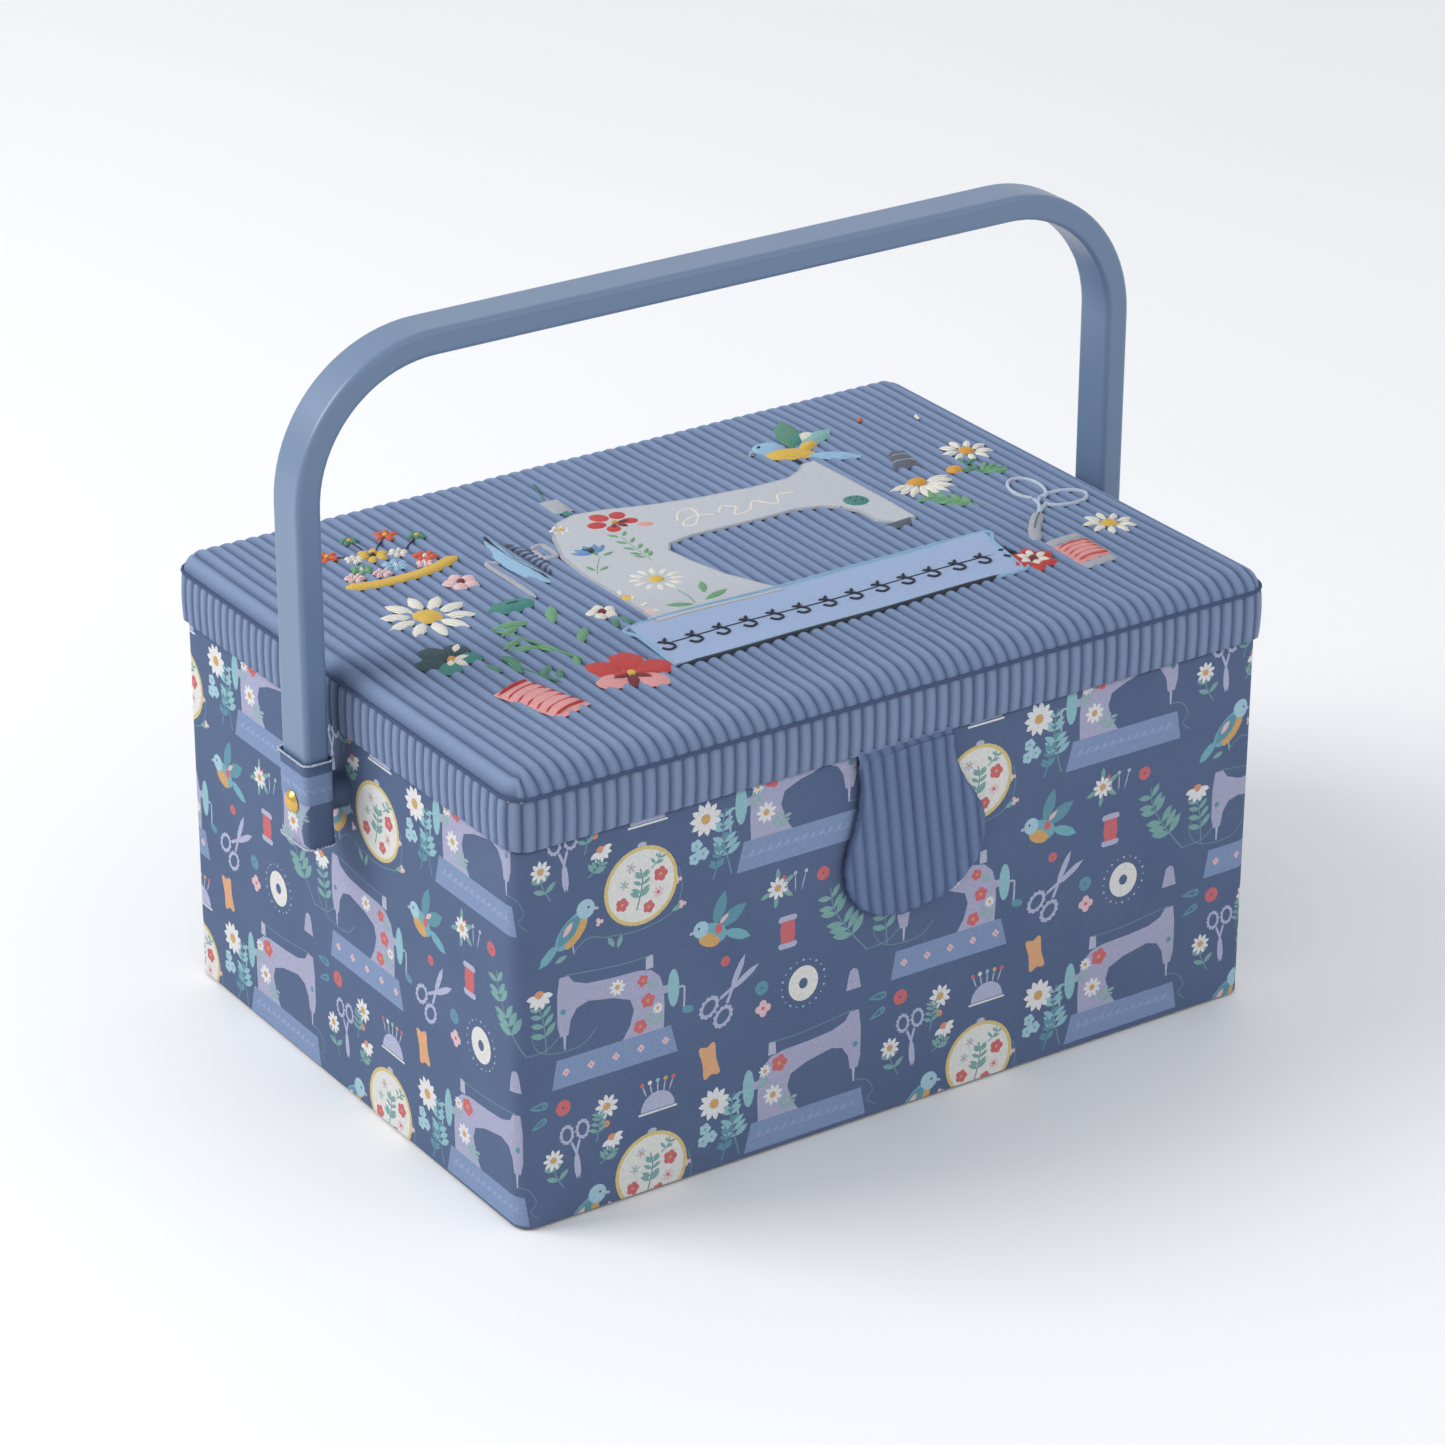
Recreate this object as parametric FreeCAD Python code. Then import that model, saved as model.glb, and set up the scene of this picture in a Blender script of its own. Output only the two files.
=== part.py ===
import FreeCAD, Part
import math
import os

# A cloth-covered sewing box with a padded corduroy lid, a bail handle and two lift-out trays.
# Millimetres. +X runs along the box, +Y to the hinge at the back and +Z up.
# The origin is the centre of the underside.

# ---- overall sizes ----
box_length = 260.0          # over the printed cloth
box_width = 190.0
box_height = 119.4          # underside to rim
corner_radius = 5.5

# ---- sheet materials ----
board = 3.0                 # cardboard of the walls, base and lid
print_cloth = 0.6
lining_cloth = 0.6
corduroy = 1.2
base_cloth = 0.8
base_inset = 1.2            # the dark base cloth stops short of the walls

# ---- inside the box ----
end_lining = 3.0            # cloth-covered boards that hide the rivet tails
ledge_lining = 4.0          # front and back boards whose top edges carry the trays
ledge_height = 72.0
floor_pad = 3.0
pocket_skin = 0.5           # what is left of an end lining behind a rivet tail

# ---- trays ----
tray_height = 34.0
tray_wall = 1.6
tray_floor = 1.8
tray_corner = 4.0
tray_side_gap = 1.0         # front and back
tray_end_gap = 0.6          # to the end linings and between the trays
divider = 1.4
divider_drop = 2.0          # divider tops lie this far under the tray's rim
left_tray_cells = (2, 3)    # columns along X, rows along Y
right_tray_rows = 3         # small cells beside the long one
long_cell = 58.0            # width of the right tray's long compartment

# ---- lid ----
lid_gap = 0.3               # rim to lid, when shut
lid_overhang = 2.2          # past the walls on every side
lid_edge_height = 15.7
lid_pad_height = 7.4        # foam and corduroy above the edge band
lid_groove = 0.5            # the pad stops this far inside the edge band
pad_round = 7.0             # rounding of the pad's upper edge

# ---- inside the lid ----
pocket_length = 226.0
pocket_depth = 66.0
pocket_thickness = 2.0
pocket_from_hinge = 8.0
elastic = 3.0
cushion_length = 76.0
cushion_depth = 52.0
cushion_height = 8.0
cushion_round = 3.6
cushion_from_front = 20.0

# ---- cloth hinge ----
hinge_cloth = 0.6
hinge_leaf = 20.0
hinge_inset = 14.0          # the hinge stops this far short of the box's ends
hinge_drop = 0.8            # the lower leaf ends this far under the rim
hinge_rise = 0.9            # the upper leaf starts this far above the lid's lower edge
strip_below = 0.7           # the free strip between the two folds, about the lid's lower edge
strip_above = 0.4
strip_gap = 0.1             # lid's back to the strip

# ---- closing flap, laid out from the middle of its neck ----
flap_layer = 1.2
flap_gap = 0.3              # flap to the box's front
flap_centre = -1.3
flap_tilt = 7.0             # degrees, the tip leaning to +X
flap_top_gap = 0.5          # under the lid's lower edge
flap_drop = 53.5
flap_neck = 16.5            # half widths
flap_bulb = 24.8
magnet_radius = 6.0
magnet_thickness = 0.8
magnet_drop = 37.0
catch_radius = 7.0
catch_thickness = 1.0

# ---- bail handle ----
handle_depth = 14.5         # along Y
handle_thickness = 8.0
handle_top = 237.2
handle_gap = 7.5            # box wall to the leg's inner face
handle_bend = 46.0          # outer radius of the two corners
handle_round = 1.7
handle_foot = 90.0          # height of the legs' lower ends

# ---- cuffs and rivets ----
cuff_cloth = 1.0
cuff_low = 88.4
cuff_high = 115.2
pivot_height = 101.3
rivet_radius = 1.9
running_gap = 0.05          # radial, round the rivet
face_gap = 0.1              # between pieces that turn against each other
rivet_head_radius = 3.4
rivet_head_height = 1.7
rivet_tail_radius = 3.0
rivet_tail = 0.9
washer_radius = 6.0
washer = 0.9
spacer_radius = 5.5
tail_pocket_gap = 0.6       # round the washer in the end lining

# ---- derived places ----
half_length = box_length / 2
half_width = box_width / 2
board_x = half_length - print_cloth
board_y = half_width - print_cloth
inner_x = board_x - board
inner_y = board_y - board
well_x = inner_x - end_lining
well_y = inner_y - ledge_lining
wall_low = base_cloth + board
wall_high = box_height - print_cloth
lid_low = box_height + lid_gap
lid_high = lid_low + lid_edge_height
lid_x = half_length + lid_overhang
lid_y = half_width + lid_overhang
frame_x = lid_x - corduroy
frame_y = lid_y - corduroy
lid_inner_x = frame_x - board
lid_inner_y = frame_y - board
lid_corner = corner_radius + lid_overhang
lid_roof = lid_high - board - lining_cloth
leg_inner = half_length + handle_gap
leg_outer = leg_inner + handle_thickness
flap_back = -half_width - flap_gap
flap_middle = flap_back - flap_layer
flap_top = lid_low - flap_top_gap

Vec = FreeCAD.Vector
X_AXIS = Vec(1, 0, 0)
Y_AXIS = Vec(0, 1, 0)
Z_AXIS = Vec(0, 0, 1)


def block(x0, x1, y0, y1, z0, z1):
    return Part.makeBox(x1 - x0, y1 - y0, z1 - z0, Vec(x0, y0, z0))


def centred_block(half_x, half_y, z0, z1):
    return block(-half_x, half_x, -half_y, half_y, z0, z1)


def upright_edges(solid):
    """Edges that run along Z."""
    return [e for e in solid.Edges if abs(e.BoundBox.ZLength - solid.BoundBox.ZLength) < 1e-6]


def edges_at_height(solid, z):
    """Edges that lie flat at one height."""
    return [e for e in solid.Edges if abs(e.BoundBox.ZMin - z) < 1e-6 and abs(e.BoundBox.ZMax - z) < 1e-6]


def rounded_block(half_x, half_y, z0, z1, radius):
    """A centred block with rounded upright corners."""
    solid = centred_block(half_x, half_y, z0, z1)
    return solid.makeFillet(radius, upright_edges(solid))


def along_x(radius, x0, x1, y, z):
    """A round bar along X between two places."""
    return Part.makeCylinder(radius, abs(x1 - x0), Vec(min(x0, x1), y, z), X_AXIS)


def sided(shape, side):
    """The shape as drawn for side +1, or turned half round Z for side -1."""
    if side > 0:
        return shape
    return shape.rotated(Vec(0, 0, 0), Z_AXIS, 180)


def save(name, shape):
    clean = shape.removeSplitter()
    if not clean.isValid():
        raise ValueError(name + " is not a valid shape")
    clean.exportStep("parts/" + name + ".step")
    print("%-22s %2d solids %9.2f cm3" % (name, len(clean.Solids), clean.Volume / 1000))


def rivet_seat(x0, x1):
    """The tight hole for a rivet's shank, in the pieces it is clenched to."""
    return along_x(rivet_radius, x0, x1, 0, pivot_height)


def pivot_bore(x0, x1):
    """The running hole round a rivet's shank, in the pieces that swing on it."""
    return along_x(rivet_radius + running_gap, x0, x1, 0, pivot_height)


# ---- base and walls ----

def base_cover():
    return rounded_block(half_length - base_inset, half_width - base_inset, 0, base_cloth,
                         corner_radius - base_inset)


def base_board():
    return rounded_block(board_x, board_y, base_cloth, wall_low, corner_radius - print_cloth)


def wall_ring():
    outside = rounded_block(board_x, board_y, wall_low, wall_high, corner_radius - print_cloth)
    return outside.cut(centred_block(inner_x, inner_y, wall_low, wall_high))


def front_board():
    wall = wall_ring().common(block(-half_length, half_length, -half_width, -inner_y, 0, box_height))
    place = flap_point(0, -magnet_drop, -board_y)
    recess = Part.makeCylinder(catch_radius, catch_thickness, place, Y_AXIS)
    return wall.cut(recess)


def back_board():
    return wall_ring().common(block(-half_length, half_length, inner_y, half_width, 0, box_height))


def end_board():
    wall = wall_ring().common(block(inner_x, half_length, -inner_y, inner_y, 0, box_height))
    return wall.cut(rivet_seat(inner_x, half_length))


def outer_cover():
    """The printed cloth: a skin round the walls, turned in over their top edge."""
    outside = rounded_block(half_length, half_width, base_cloth, box_height, corner_radius)
    inside = rounded_block(board_x, board_y, base_cloth, wall_high, corner_radius - print_cloth)
    mouth = centred_block(inner_x, inner_y, wall_high, box_height)
    bores = rivet_seat(-half_length, half_length)
    return outside.cut(inside).cut(mouth).cut(bores)


def catch_plate():
    return Part.makeCylinder(catch_radius, catch_thickness, flap_point(0, -magnet_drop, -board_y), Y_AXIS)


# ---- linings ----

def ledge_board():
    return block(-well_x, well_x, well_y, inner_y, wall_low, ledge_height)


def upper_lining():
    return block(-well_x, well_x, inner_y - lining_cloth, inner_y, ledge_height, wall_high)


def end_lining_board():
    lining = block(well_x, inner_x, -inner_y, inner_y, wall_low, wall_high)
    tail_pocket = along_x(washer_radius + tail_pocket_gap, well_x + pocket_skin, inner_x, 0, pivot_height)
    return lining.cut(tail_pocket)


def floor_lining():
    return centred_block(well_x, well_y, wall_low, wall_low + floor_pad)


# ---- trays ----

tray_y = inner_y - lining_cloth - tray_side_gap
tray_near = tray_end_gap / 2
tray_far = well_x - tray_end_gap
tray_top = ledge_height + tray_height
divider_top = tray_top - divider_drop


def tray_shell():
    """An open tray on the +X side, without dividers."""
    outside = block(tray_near, tray_far, -tray_y, tray_y, ledge_height, tray_top)
    outside = outside.makeFillet(tray_corner, upright_edges(outside))
    hollow = block(tray_near + tray_wall, tray_far - tray_wall, -tray_y + tray_wall, tray_y - tray_wall,
                   ledge_height + tray_floor, tray_top)
    hollow = hollow.makeFillet(tray_corner - tray_wall, upright_edges(hollow))
    return outside.cut(hollow)


def row_dividers(x0, x1, rows):
    """Cross walls that share the tray's depth out evenly."""
    clear = 2 * (tray_y - tray_wall) - (rows - 1) * divider
    walls = []
    for row in range(1, rows):
        y = -tray_y + tray_wall + row * clear / rows + (row - 1) * divider
        walls.append(block(x0, x1, y, y + divider, ledge_height + tray_floor / 2, divider_top))
    return walls


def long_divider(x):
    return block(x, x + divider, -tray_y + tray_wall / 2, tray_y - tray_wall / 2,
                 ledge_height + tray_floor / 2, divider_top)


def right_tray():
    """A long compartment for scissors beside a row of square ones."""
    x = tray_near + tray_wall + long_cell
    dividers = [long_divider(x)] + row_dividers(x + divider / 2, tray_far - tray_wall / 2, right_tray_rows)
    return tray_shell().multiFuse(dividers)


def left_tray():
    """Equal compartments for reels and buttons."""
    columns, rows = left_tray_cells
    clear = tray_far - tray_near - 2 * tray_wall - (columns - 1) * divider
    dividers = row_dividers(tray_near + tray_wall / 2, tray_far - tray_wall / 2, rows)
    for column in range(1, columns):
        x = tray_near + tray_wall + column * clear / columns + (column - 1) * divider
        dividers.append(long_divider(x))
    return sided(tray_shell().multiFuse(dividers), -1)


# ---- lid ----

def lid_frame():
    outside = rounded_block(frame_x, frame_y, lid_low + corduroy, lid_high - board, lid_corner - corduroy)
    return outside.cut(centred_block(lid_inner_x, lid_inner_y, lid_low, lid_high))


def lid_board():
    return rounded_block(frame_x, frame_y, lid_high - board, lid_high, lid_corner - corduroy)


def lid_edge_band():
    """Corduroy round the lid's edge, turned in under the frame."""
    outside = rounded_block(lid_x, lid_y, lid_low, lid_high, lid_corner)
    inside = rounded_block(frame_x, frame_y, lid_low + corduroy, lid_high, lid_corner - corduroy)
    mouth = centred_block(lid_inner_x, lid_inner_y, lid_low, lid_high)
    return outside.cut(inside).cut(mouth)


def pad_block(inset, height, rounding):
    """The lid's padding, rounded along its upper edge."""
    pad = rounded_block(lid_x - lid_groove - inset, lid_y - lid_groove - inset, lid_high, lid_high + height,
                        lid_corner - lid_groove - inset)
    return pad.makeFillet(rounding, edges_at_height(pad, lid_high + height))


def lid_foam():
    return pad_block(corduroy, lid_pad_height - corduroy, pad_round - corduroy)


def lid_top_cover():
    return pad_block(0, lid_pad_height, pad_round).cut(lid_foam())


def lid_lining():
    outside = centred_block(lid_inner_x, lid_inner_y, lid_low + corduroy, lid_high - board)
    return outside.cut(centred_block(lid_inner_x - lining_cloth, lid_inner_y - lining_cloth, lid_low, lid_roof))


pocket_back = lid_inner_y - lining_cloth - pocket_from_hinge
pocket_front = pocket_back - pocket_depth


def lid_pocket():
    return block(-pocket_length / 2, pocket_length / 2, pocket_front, pocket_back,
                 lid_roof - pocket_thickness, lid_roof)


def pocket_elastic():
    return block(-pocket_length / 2, pocket_length / 2, pocket_front - elastic, pocket_front,
                 lid_roof - elastic, lid_roof)


def pincushion():
    front = -lid_inner_y + lining_cloth + cushion_from_front
    low = lid_roof - cushion_height
    cushion = block(-cushion_length / 2, cushion_length / 2, front, front + cushion_depth, low, lid_roof)
    cushion = cushion.makeFillet(3 * cushion_round, upright_edges(cushion))
    return cushion.makeFillet(cushion_round, edges_at_height(cushion, low))


# ---- cloth hinge ----

hinge_span = half_length - hinge_inset


def hinge_leaf_lower():
    top = box_height - hinge_drop
    return block(-hinge_span, hinge_span, half_width, half_width + hinge_cloth, top - hinge_leaf, top)


def hinge_strip():
    front = lid_y + strip_gap
    return block(-hinge_span, hinge_span, front, front + hinge_cloth, lid_low - strip_below, lid_low + strip_above)


def hinge_leaf_upper():
    return block(-hinge_span, hinge_span, lid_y, lid_y + hinge_cloth, lid_low + hinge_rise, lid_high - corduroy)


# ---- closing flap ----

def flap_point(across, up, y):
    """A place on the flap: across and up from the middle of its neck, in the leaning frame."""
    lean = math.radians(flap_tilt)
    x = flap_centre + across * math.cos(lean) - up * math.sin(lean)
    z = flap_top + across * math.sin(lean) + up * math.cos(lean)
    return Vec(x, y, z)


def flap_layer_solid(y0, y1):
    """One layer of the flap: a narrow neck that swells to a round tip."""
    right_side = [(1.0, 0.0), (1.0, -0.16), (1.19, -0.36)]
    bulb = [(1.0, -0.61), (0.93, -0.79), (0.56, -0.95)]
    points = [(flap_neck * across, flap_drop * up) for across, up in right_side]
    points += [(flap_bulb * across, flap_drop * up) for across, up in bulb]
    mirrored = [(-across, up) for across, up in reversed(points)]
    outline = [flap_point(across, up, y0) for across, up in points + [(0.0, -flap_drop)] + mirrored]
    curve = Part.BSplineCurve()
    curve.interpolate(outline)
    closing = Part.makeLine(outline[-1], outline[0])
    face = Part.Face(Part.Wire([curve.toShape(), closing]))
    level_top = block(-half_length, half_length, y1, y0, 0, flap_top)
    return face.extrude(Vec(0, y1 - y0, 0)).common(level_top)


def flap_magnet():
    return Part.makeCylinder(magnet_radius, magnet_thickness, flap_point(0, -magnet_drop, flap_middle), Y_AXIS)


def flap_lining():
    return flap_layer_solid(flap_back, flap_middle).cut(flap_magnet())


def closing_flap():
    return flap_layer_solid(flap_middle, flap_middle - flap_layer)


# ---- handle, cuffs and rivets ----

def bail_wire(half_span, top, bend):
    """Half-outline of the bail in the XZ plane, foot to foot."""
    mid = bend * (1 - math.sqrt(0.5))
    y = -handle_depth / 2
    foot = Vec(half_span, y, handle_foot)
    shoulder = Vec(half_span, y, top - bend)
    crest = Vec(half_span - bend, y, top)
    corner = Vec(half_span - mid, y, top - mid)

    def mirror(p):
        return Vec(-p.x, p.y, p.z)

    return [Part.makeLine(foot, shoulder), Part.Arc(shoulder, corner, crest).toShape(),
            Part.makeLine(crest, mirror(crest)),
            Part.Arc(mirror(crest), mirror(corner), mirror(shoulder)).toShape(),
            Part.makeLine(mirror(shoulder), mirror(foot))]


def carry_handle():
    outer = bail_wire(leg_outer, handle_top, handle_bend)
    inner = bail_wire(leg_inner, handle_top - handle_thickness, handle_bend - handle_thickness)
    y = -handle_depth / 2
    feet = [Part.makeLine(Vec(side * leg_inner, y, handle_foot), Vec(side * leg_outer, y, handle_foot))
            for side in (1, -1)]
    outline = Part.Wire(Part.sortEdges(outer + inner + feet)[0])
    bail = Part.Face(outline).extrude(Vec(0, handle_depth, 0))
    long_edges = [e for e in bail.Edges if e.BoundBox.YLength < 1e-6 and e.BoundBox.ZMax > handle_foot + 1]
    bail = bail.makeFillet(handle_round, long_edges)
    return bail.cut(pivot_bore(-leg_outer, leg_outer))


def cuff():
    """A sleeve of printed cloth round the +X leg's lower end."""
    half_depth = handle_depth / 2
    outside = block(leg_inner - cuff_cloth, leg_outer + cuff_cloth, -half_depth - cuff_cloth,
                    half_depth + cuff_cloth, cuff_low, cuff_high)
    outside = outside.makeFillet(handle_round, upright_edges(outside))
    leg_room = block(leg_inner, leg_outer, -half_depth, half_depth, cuff_low, cuff_high)
    return outside.cut(leg_room).cut(pivot_bore(leg_inner - cuff_cloth, leg_outer + cuff_cloth))


def inner_washer():
    disc = along_x(washer_radius, inner_x - washer, inner_x, 0, pivot_height)
    return disc.cut(rivet_seat(inner_x - washer, inner_x))


def spacer_bush():
    low = half_length
    high = leg_inner - cuff_cloth - face_gap
    sleeve = along_x(spacer_radius, low, high, 0, pivot_height)
    return sleeve.cut(along_x(rivet_radius, low, high, 0, pivot_height))


def rivet():
    """A domed head outside the cuff and a flattened tail behind the washer."""
    head_seat = leg_outer + cuff_cloth + face_gap
    tail_seat = inner_x - washer
    dome_radius = (rivet_head_radius ** 2 + rivet_head_height ** 2) / (2 * rivet_head_height)
    dome = Part.makeSphere(dome_radius, Vec(head_seat + rivet_head_height - dome_radius, 0, pivot_height))
    head = dome.common(along_x(2 * rivet_head_radius, head_seat, head_seat + rivet_head_height, 0, pivot_height))
    shank = along_x(rivet_radius, tail_seat - rivet_tail, head_seat, 0, pivot_height)
    tail = along_x(rivet_tail_radius, tail_seat - rivet_tail, tail_seat, 0, pivot_height)
    return head.multiFuse([shank, tail])


os.makedirs("parts", exist_ok=True)

for name, make in {
        "base_cover": base_cover, "base_board": base_board, "front_board": front_board,
        "back_board": back_board, "outer_cover": outer_cover, "catch_plate": catch_plate,
        "floor_lining": floor_lining, "tray_right": right_tray, "tray_left": left_tray,
        "lid_frame": lid_frame, "lid_board": lid_board, "lid_edge_band": lid_edge_band,
        "lid_foam": lid_foam, "lid_top_cover": lid_top_cover, "lid_lining": lid_lining,
        "lid_pocket": lid_pocket, "pocket_elastic": pocket_elastic, "pincushion": pincushion,
        "hinge_leaf_lower": hinge_leaf_lower, "hinge_strip": hinge_strip,
        "hinge_leaf_upper": hinge_leaf_upper,
        "closing_flap": closing_flap, "flap_lining": flap_lining, "flap_magnet": flap_magnet,
        "carry_handle": carry_handle}.items():
    save(name, make())

for side, end in ((1, "right"), (-1, "left")):
    for name, make in {
            "board": end_board, "lining_board": end_lining_board, "cuff": cuff, "rivet": rivet,
            "washer": inner_washer, "spacer": spacer_bush}.items():
        save(end + "_" + name, sided(make(), side))

for side, face in ((1, "back"), (-1, "front")):
    save(face + "_ledge_board", sided(ledge_board(), side))
    save(face + "_upper_lining", sided(upper_lining(), side))
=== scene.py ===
import math
import bmesh
import bpy
import numpy as np
from mathutils import Matrix, Vector
from mathutils.geometry import delaunay_2d_cdt


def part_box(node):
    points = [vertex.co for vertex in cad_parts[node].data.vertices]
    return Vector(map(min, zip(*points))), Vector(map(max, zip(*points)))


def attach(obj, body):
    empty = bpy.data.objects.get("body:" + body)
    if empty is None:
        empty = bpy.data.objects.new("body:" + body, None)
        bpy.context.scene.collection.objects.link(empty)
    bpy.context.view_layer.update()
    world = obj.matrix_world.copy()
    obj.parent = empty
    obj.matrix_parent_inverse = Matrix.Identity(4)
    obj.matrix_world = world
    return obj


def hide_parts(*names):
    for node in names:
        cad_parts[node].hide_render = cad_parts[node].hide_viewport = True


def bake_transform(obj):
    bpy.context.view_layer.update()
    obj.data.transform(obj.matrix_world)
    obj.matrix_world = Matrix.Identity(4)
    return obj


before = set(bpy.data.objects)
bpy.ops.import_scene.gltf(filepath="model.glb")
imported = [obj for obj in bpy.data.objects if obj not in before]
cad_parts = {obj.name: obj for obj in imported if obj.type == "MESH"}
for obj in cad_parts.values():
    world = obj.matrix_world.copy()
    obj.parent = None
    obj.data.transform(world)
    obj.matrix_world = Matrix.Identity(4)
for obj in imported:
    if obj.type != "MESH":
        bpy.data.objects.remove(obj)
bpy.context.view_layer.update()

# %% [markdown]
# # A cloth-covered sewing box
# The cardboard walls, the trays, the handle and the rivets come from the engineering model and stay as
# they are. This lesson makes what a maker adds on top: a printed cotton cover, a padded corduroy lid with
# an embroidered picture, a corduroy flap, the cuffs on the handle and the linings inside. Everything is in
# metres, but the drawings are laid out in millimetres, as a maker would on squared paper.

MM = 0.001


def place(node):
    """Lowest and highest corner of an engineering node, in millimetres, as two arrays."""
    low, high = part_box(node)
    return np.array(low) / MM, np.array(high) / MM


cover_low, cover_high = place("outer_cover")
band_low, band_high = place("lid_edge_band")
pad_high = place("lid_top_cover")[1]
print("cover", cover_low.round(1), cover_high.round(1))
print("lid band", band_low.round(1), band_high.round(1), "pad top", pad_high[2].round(1))

# %% [markdown]
# ## Camera and light
# A long lens from the front left, a little above the lid, keeps the box's upright edges nearly parallel.
# Light comes from a large soft window on the left and a pale room all round, so shadows stay weak.

# %% Camera
view_azimuth, view_height, view_roll = math.radians(-33.89), math.radians(25.36), math.radians(0.19)
distance, shift_right, shift_up = 1.49548, 0.00095, 0.00711
box_middle = Vector((0, 0, 80 * MM))
back = Vector((math.sin(view_azimuth) * math.cos(view_height),
               -math.cos(view_azimuth) * math.cos(view_height), math.sin(view_height)))
right = Vector((math.cos(view_azimuth), math.sin(view_azimuth), 0))
up = back.cross(right)
tilted_right = right * math.cos(view_roll) + up * math.sin(view_roll)
tilted_up = up * math.cos(view_roll) - right * math.sin(view_roll)
stand = box_middle + back * distance + right * shift_right + up * shift_up
camera_data = bpy.data.cameras.new("camera")
camera_data.lens = 123.5
camera_data.sensor_width = 36
camera = bpy.data.objects.new("camera", camera_data)
camera.matrix_world = Matrix.Translation(stand) @ Matrix((tilted_right, tilted_up,
                                                          back)).transposed().to_4x4()
bpy.context.scene.collection.objects.link(camera)
bpy.context.scene.camera = camera
print("camera stands", [round(c, 3) for c in stand])


# %% Lamps and the pale room
def area_lamp(name, place_at, look_at, size, power, colour):
    """A square soft lamp that faces a point."""
    data = bpy.data.lights.new(name, "AREA")
    data.size = size
    data.energy = power
    data.color = colour
    lamp = bpy.data.objects.new(name, data)
    direction = Vector(look_at) - Vector(place_at)
    facing = direction.to_track_quat("-Z", "Y").to_matrix().to_4x4()
    lamp.matrix_world = Matrix.Translation(place_at) @ facing
    bpy.context.scene.collection.objects.link(lamp)


area_lamp("window", (-1.3, 0.75, 1.25), (0, 0, 0.1), 1.0, 24, (1.0, 0.985, 0.96))
area_lamp("fill", (0.6, -1.6, 1.0), (0, 0, 0.1), 1.6, 7, (0.98, 0.985, 1.0))
room = bpy.data.worlds.new("room")
room.use_nodes = True
sky_light = room.node_tree.nodes["Background"]
sky_light.inputs["Color"].default_value = (0.96, 0.975, 1.0, 1)
sky_light.inputs["Strength"].default_value = 0.78
bpy.context.scene.world = room
bpy.context.scene.view_settings.view_transform = "Standard"

# %% [markdown]
# ## Shader sums written as sums
# A cloth's colour and bump are arithmetic on patterns. Instead of wiring Math nodes by hand, a small class
# wraps a socket so that an ordinary expression adds the nodes.


# %% Wires
class Wire:
    """An output socket. An operator on it adds one Math node and gives the result's wire."""

    def __init__(self, finish, socket):
        self.finish = finish
        self.socket = socket

    def math(self, operation, first, second=None):
        """One Math node with one or two inputs, each a number or a wire."""
        values = {0: first} if second is None else {0: first, 1: second}
        return self.finish.add("ShaderNodeMath", {"operation": operation}, values)

    def __add__(self, other):
        return self.math("ADD", self, other)

    def __radd__(self, other):
        return self.math("ADD", other, self)

    def __sub__(self, other):
        return self.math("SUBTRACT", self, other)

    def __rsub__(self, other):
        return self.math("SUBTRACT", other, self)

    def __mul__(self, other):
        return self.math("MULTIPLY", self, other)

    def __rmul__(self, other):
        return self.math("MULTIPLY", other, self)

    def sine(self):
        return self.math("SINE", self)

    def power(self, exponent):
        return self.math("POWER", self, exponent)


print("a wire can", [word.strip("_") for word in vars(Wire) if word[2:5] in ("add", "mul")])


# %% Finishes
class Finish:
    """A material and its Principled shader. Constants are set on the shader, patterns are linked to it."""

    def __init__(self, name, colour, roughness, **constants):
        self.material = bpy.data.materials.new(name)
        self.material.use_nodes = True
        self.tree = self.material.node_tree
        self.shader = self.tree.nodes["Principled BSDF"]
        self.material.diffuse_color = (*colour, 1)
        self.link("Base Color", (*colour, 1))
        self.link("Roughness", roughness)
        for socket, value in constants.items():
            self.link(socket.replace("_", " "), value)

    def link(self, socket, value):
        """Sets a socket of the shader, or wires something to it."""
        self.fill(self.shader.inputs[socket], value)

    def fill(self, socket, value):
        """Puts a number or colour into a socket, or wires something to it."""
        if isinstance(value, Wire):
            self.tree.links.new(value.socket, socket)
        else:
            socket.default_value = value

    def add(self, kind, settings=None, inputs=None, output=0):
        """Adds a node: its settings first, then its sockets' values or wires. Gives one output's wire."""
        node = self.tree.nodes.new(kind)
        for setting, value in (settings or {}).items():
            setattr(node, setting, value)
        for socket, value in (inputs or {}).items():
            self.fill(node.inputs[socket], value)
        return Wire(self, node.outputs[output])

    def place(self):
        """Where on the object a spot is, in metres."""
        return self.add("ShaderNodeTexCoord", output="Object")

    def along(self, vector, axis):
        """One coordinate of a vector wire: X, Y or Z."""
        return self.add("ShaderNodeSeparateXYZ", {}, {"Vector": vector}, axis)

    def noise(self, vector, scale, detail=2.0, stretch=(1, 1, 1)):
        """Soft noise from 0 to 1; scale counts its lumps in a metre."""
        stretched = self.add("ShaderNodeMapping", {}, {"Vector": vector, "Scale": stretch})
        return self.add("ShaderNodeTexNoise", {}, {"Vector": stretched, "Scale": scale, "Detail": detail})

    def attribute(self, name, output="Color"):
        """A number, vector or colour that the mesh carries under a name."""
        return self.add("ShaderNodeAttribute", {"attribute_name": name}, output=output)

    def mix(self, factor, first, second):
        """Colours mixed by a factor from 0 to 1."""
        node = self.tree.nodes.new("ShaderNodeMix")
        node.data_type = "RGBA"
        colours = [c if isinstance(c, Wire) else (*c, 1) for c in (first, second)]
        for index, value in zip((0, 6, 7), (factor, *colours)):
            self.fill(node.inputs[index], value)
        return Wire(self, node.outputs[2])

    def bump(self, height, strength, distance):
        """Makes a height pattern dent the surface; distance is in metres."""
        sockets = {"Height": height, "Strength": strength, "Distance": distance}
        self.link("Normal", self.add("ShaderNodeBump", {}, sockets))


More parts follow.
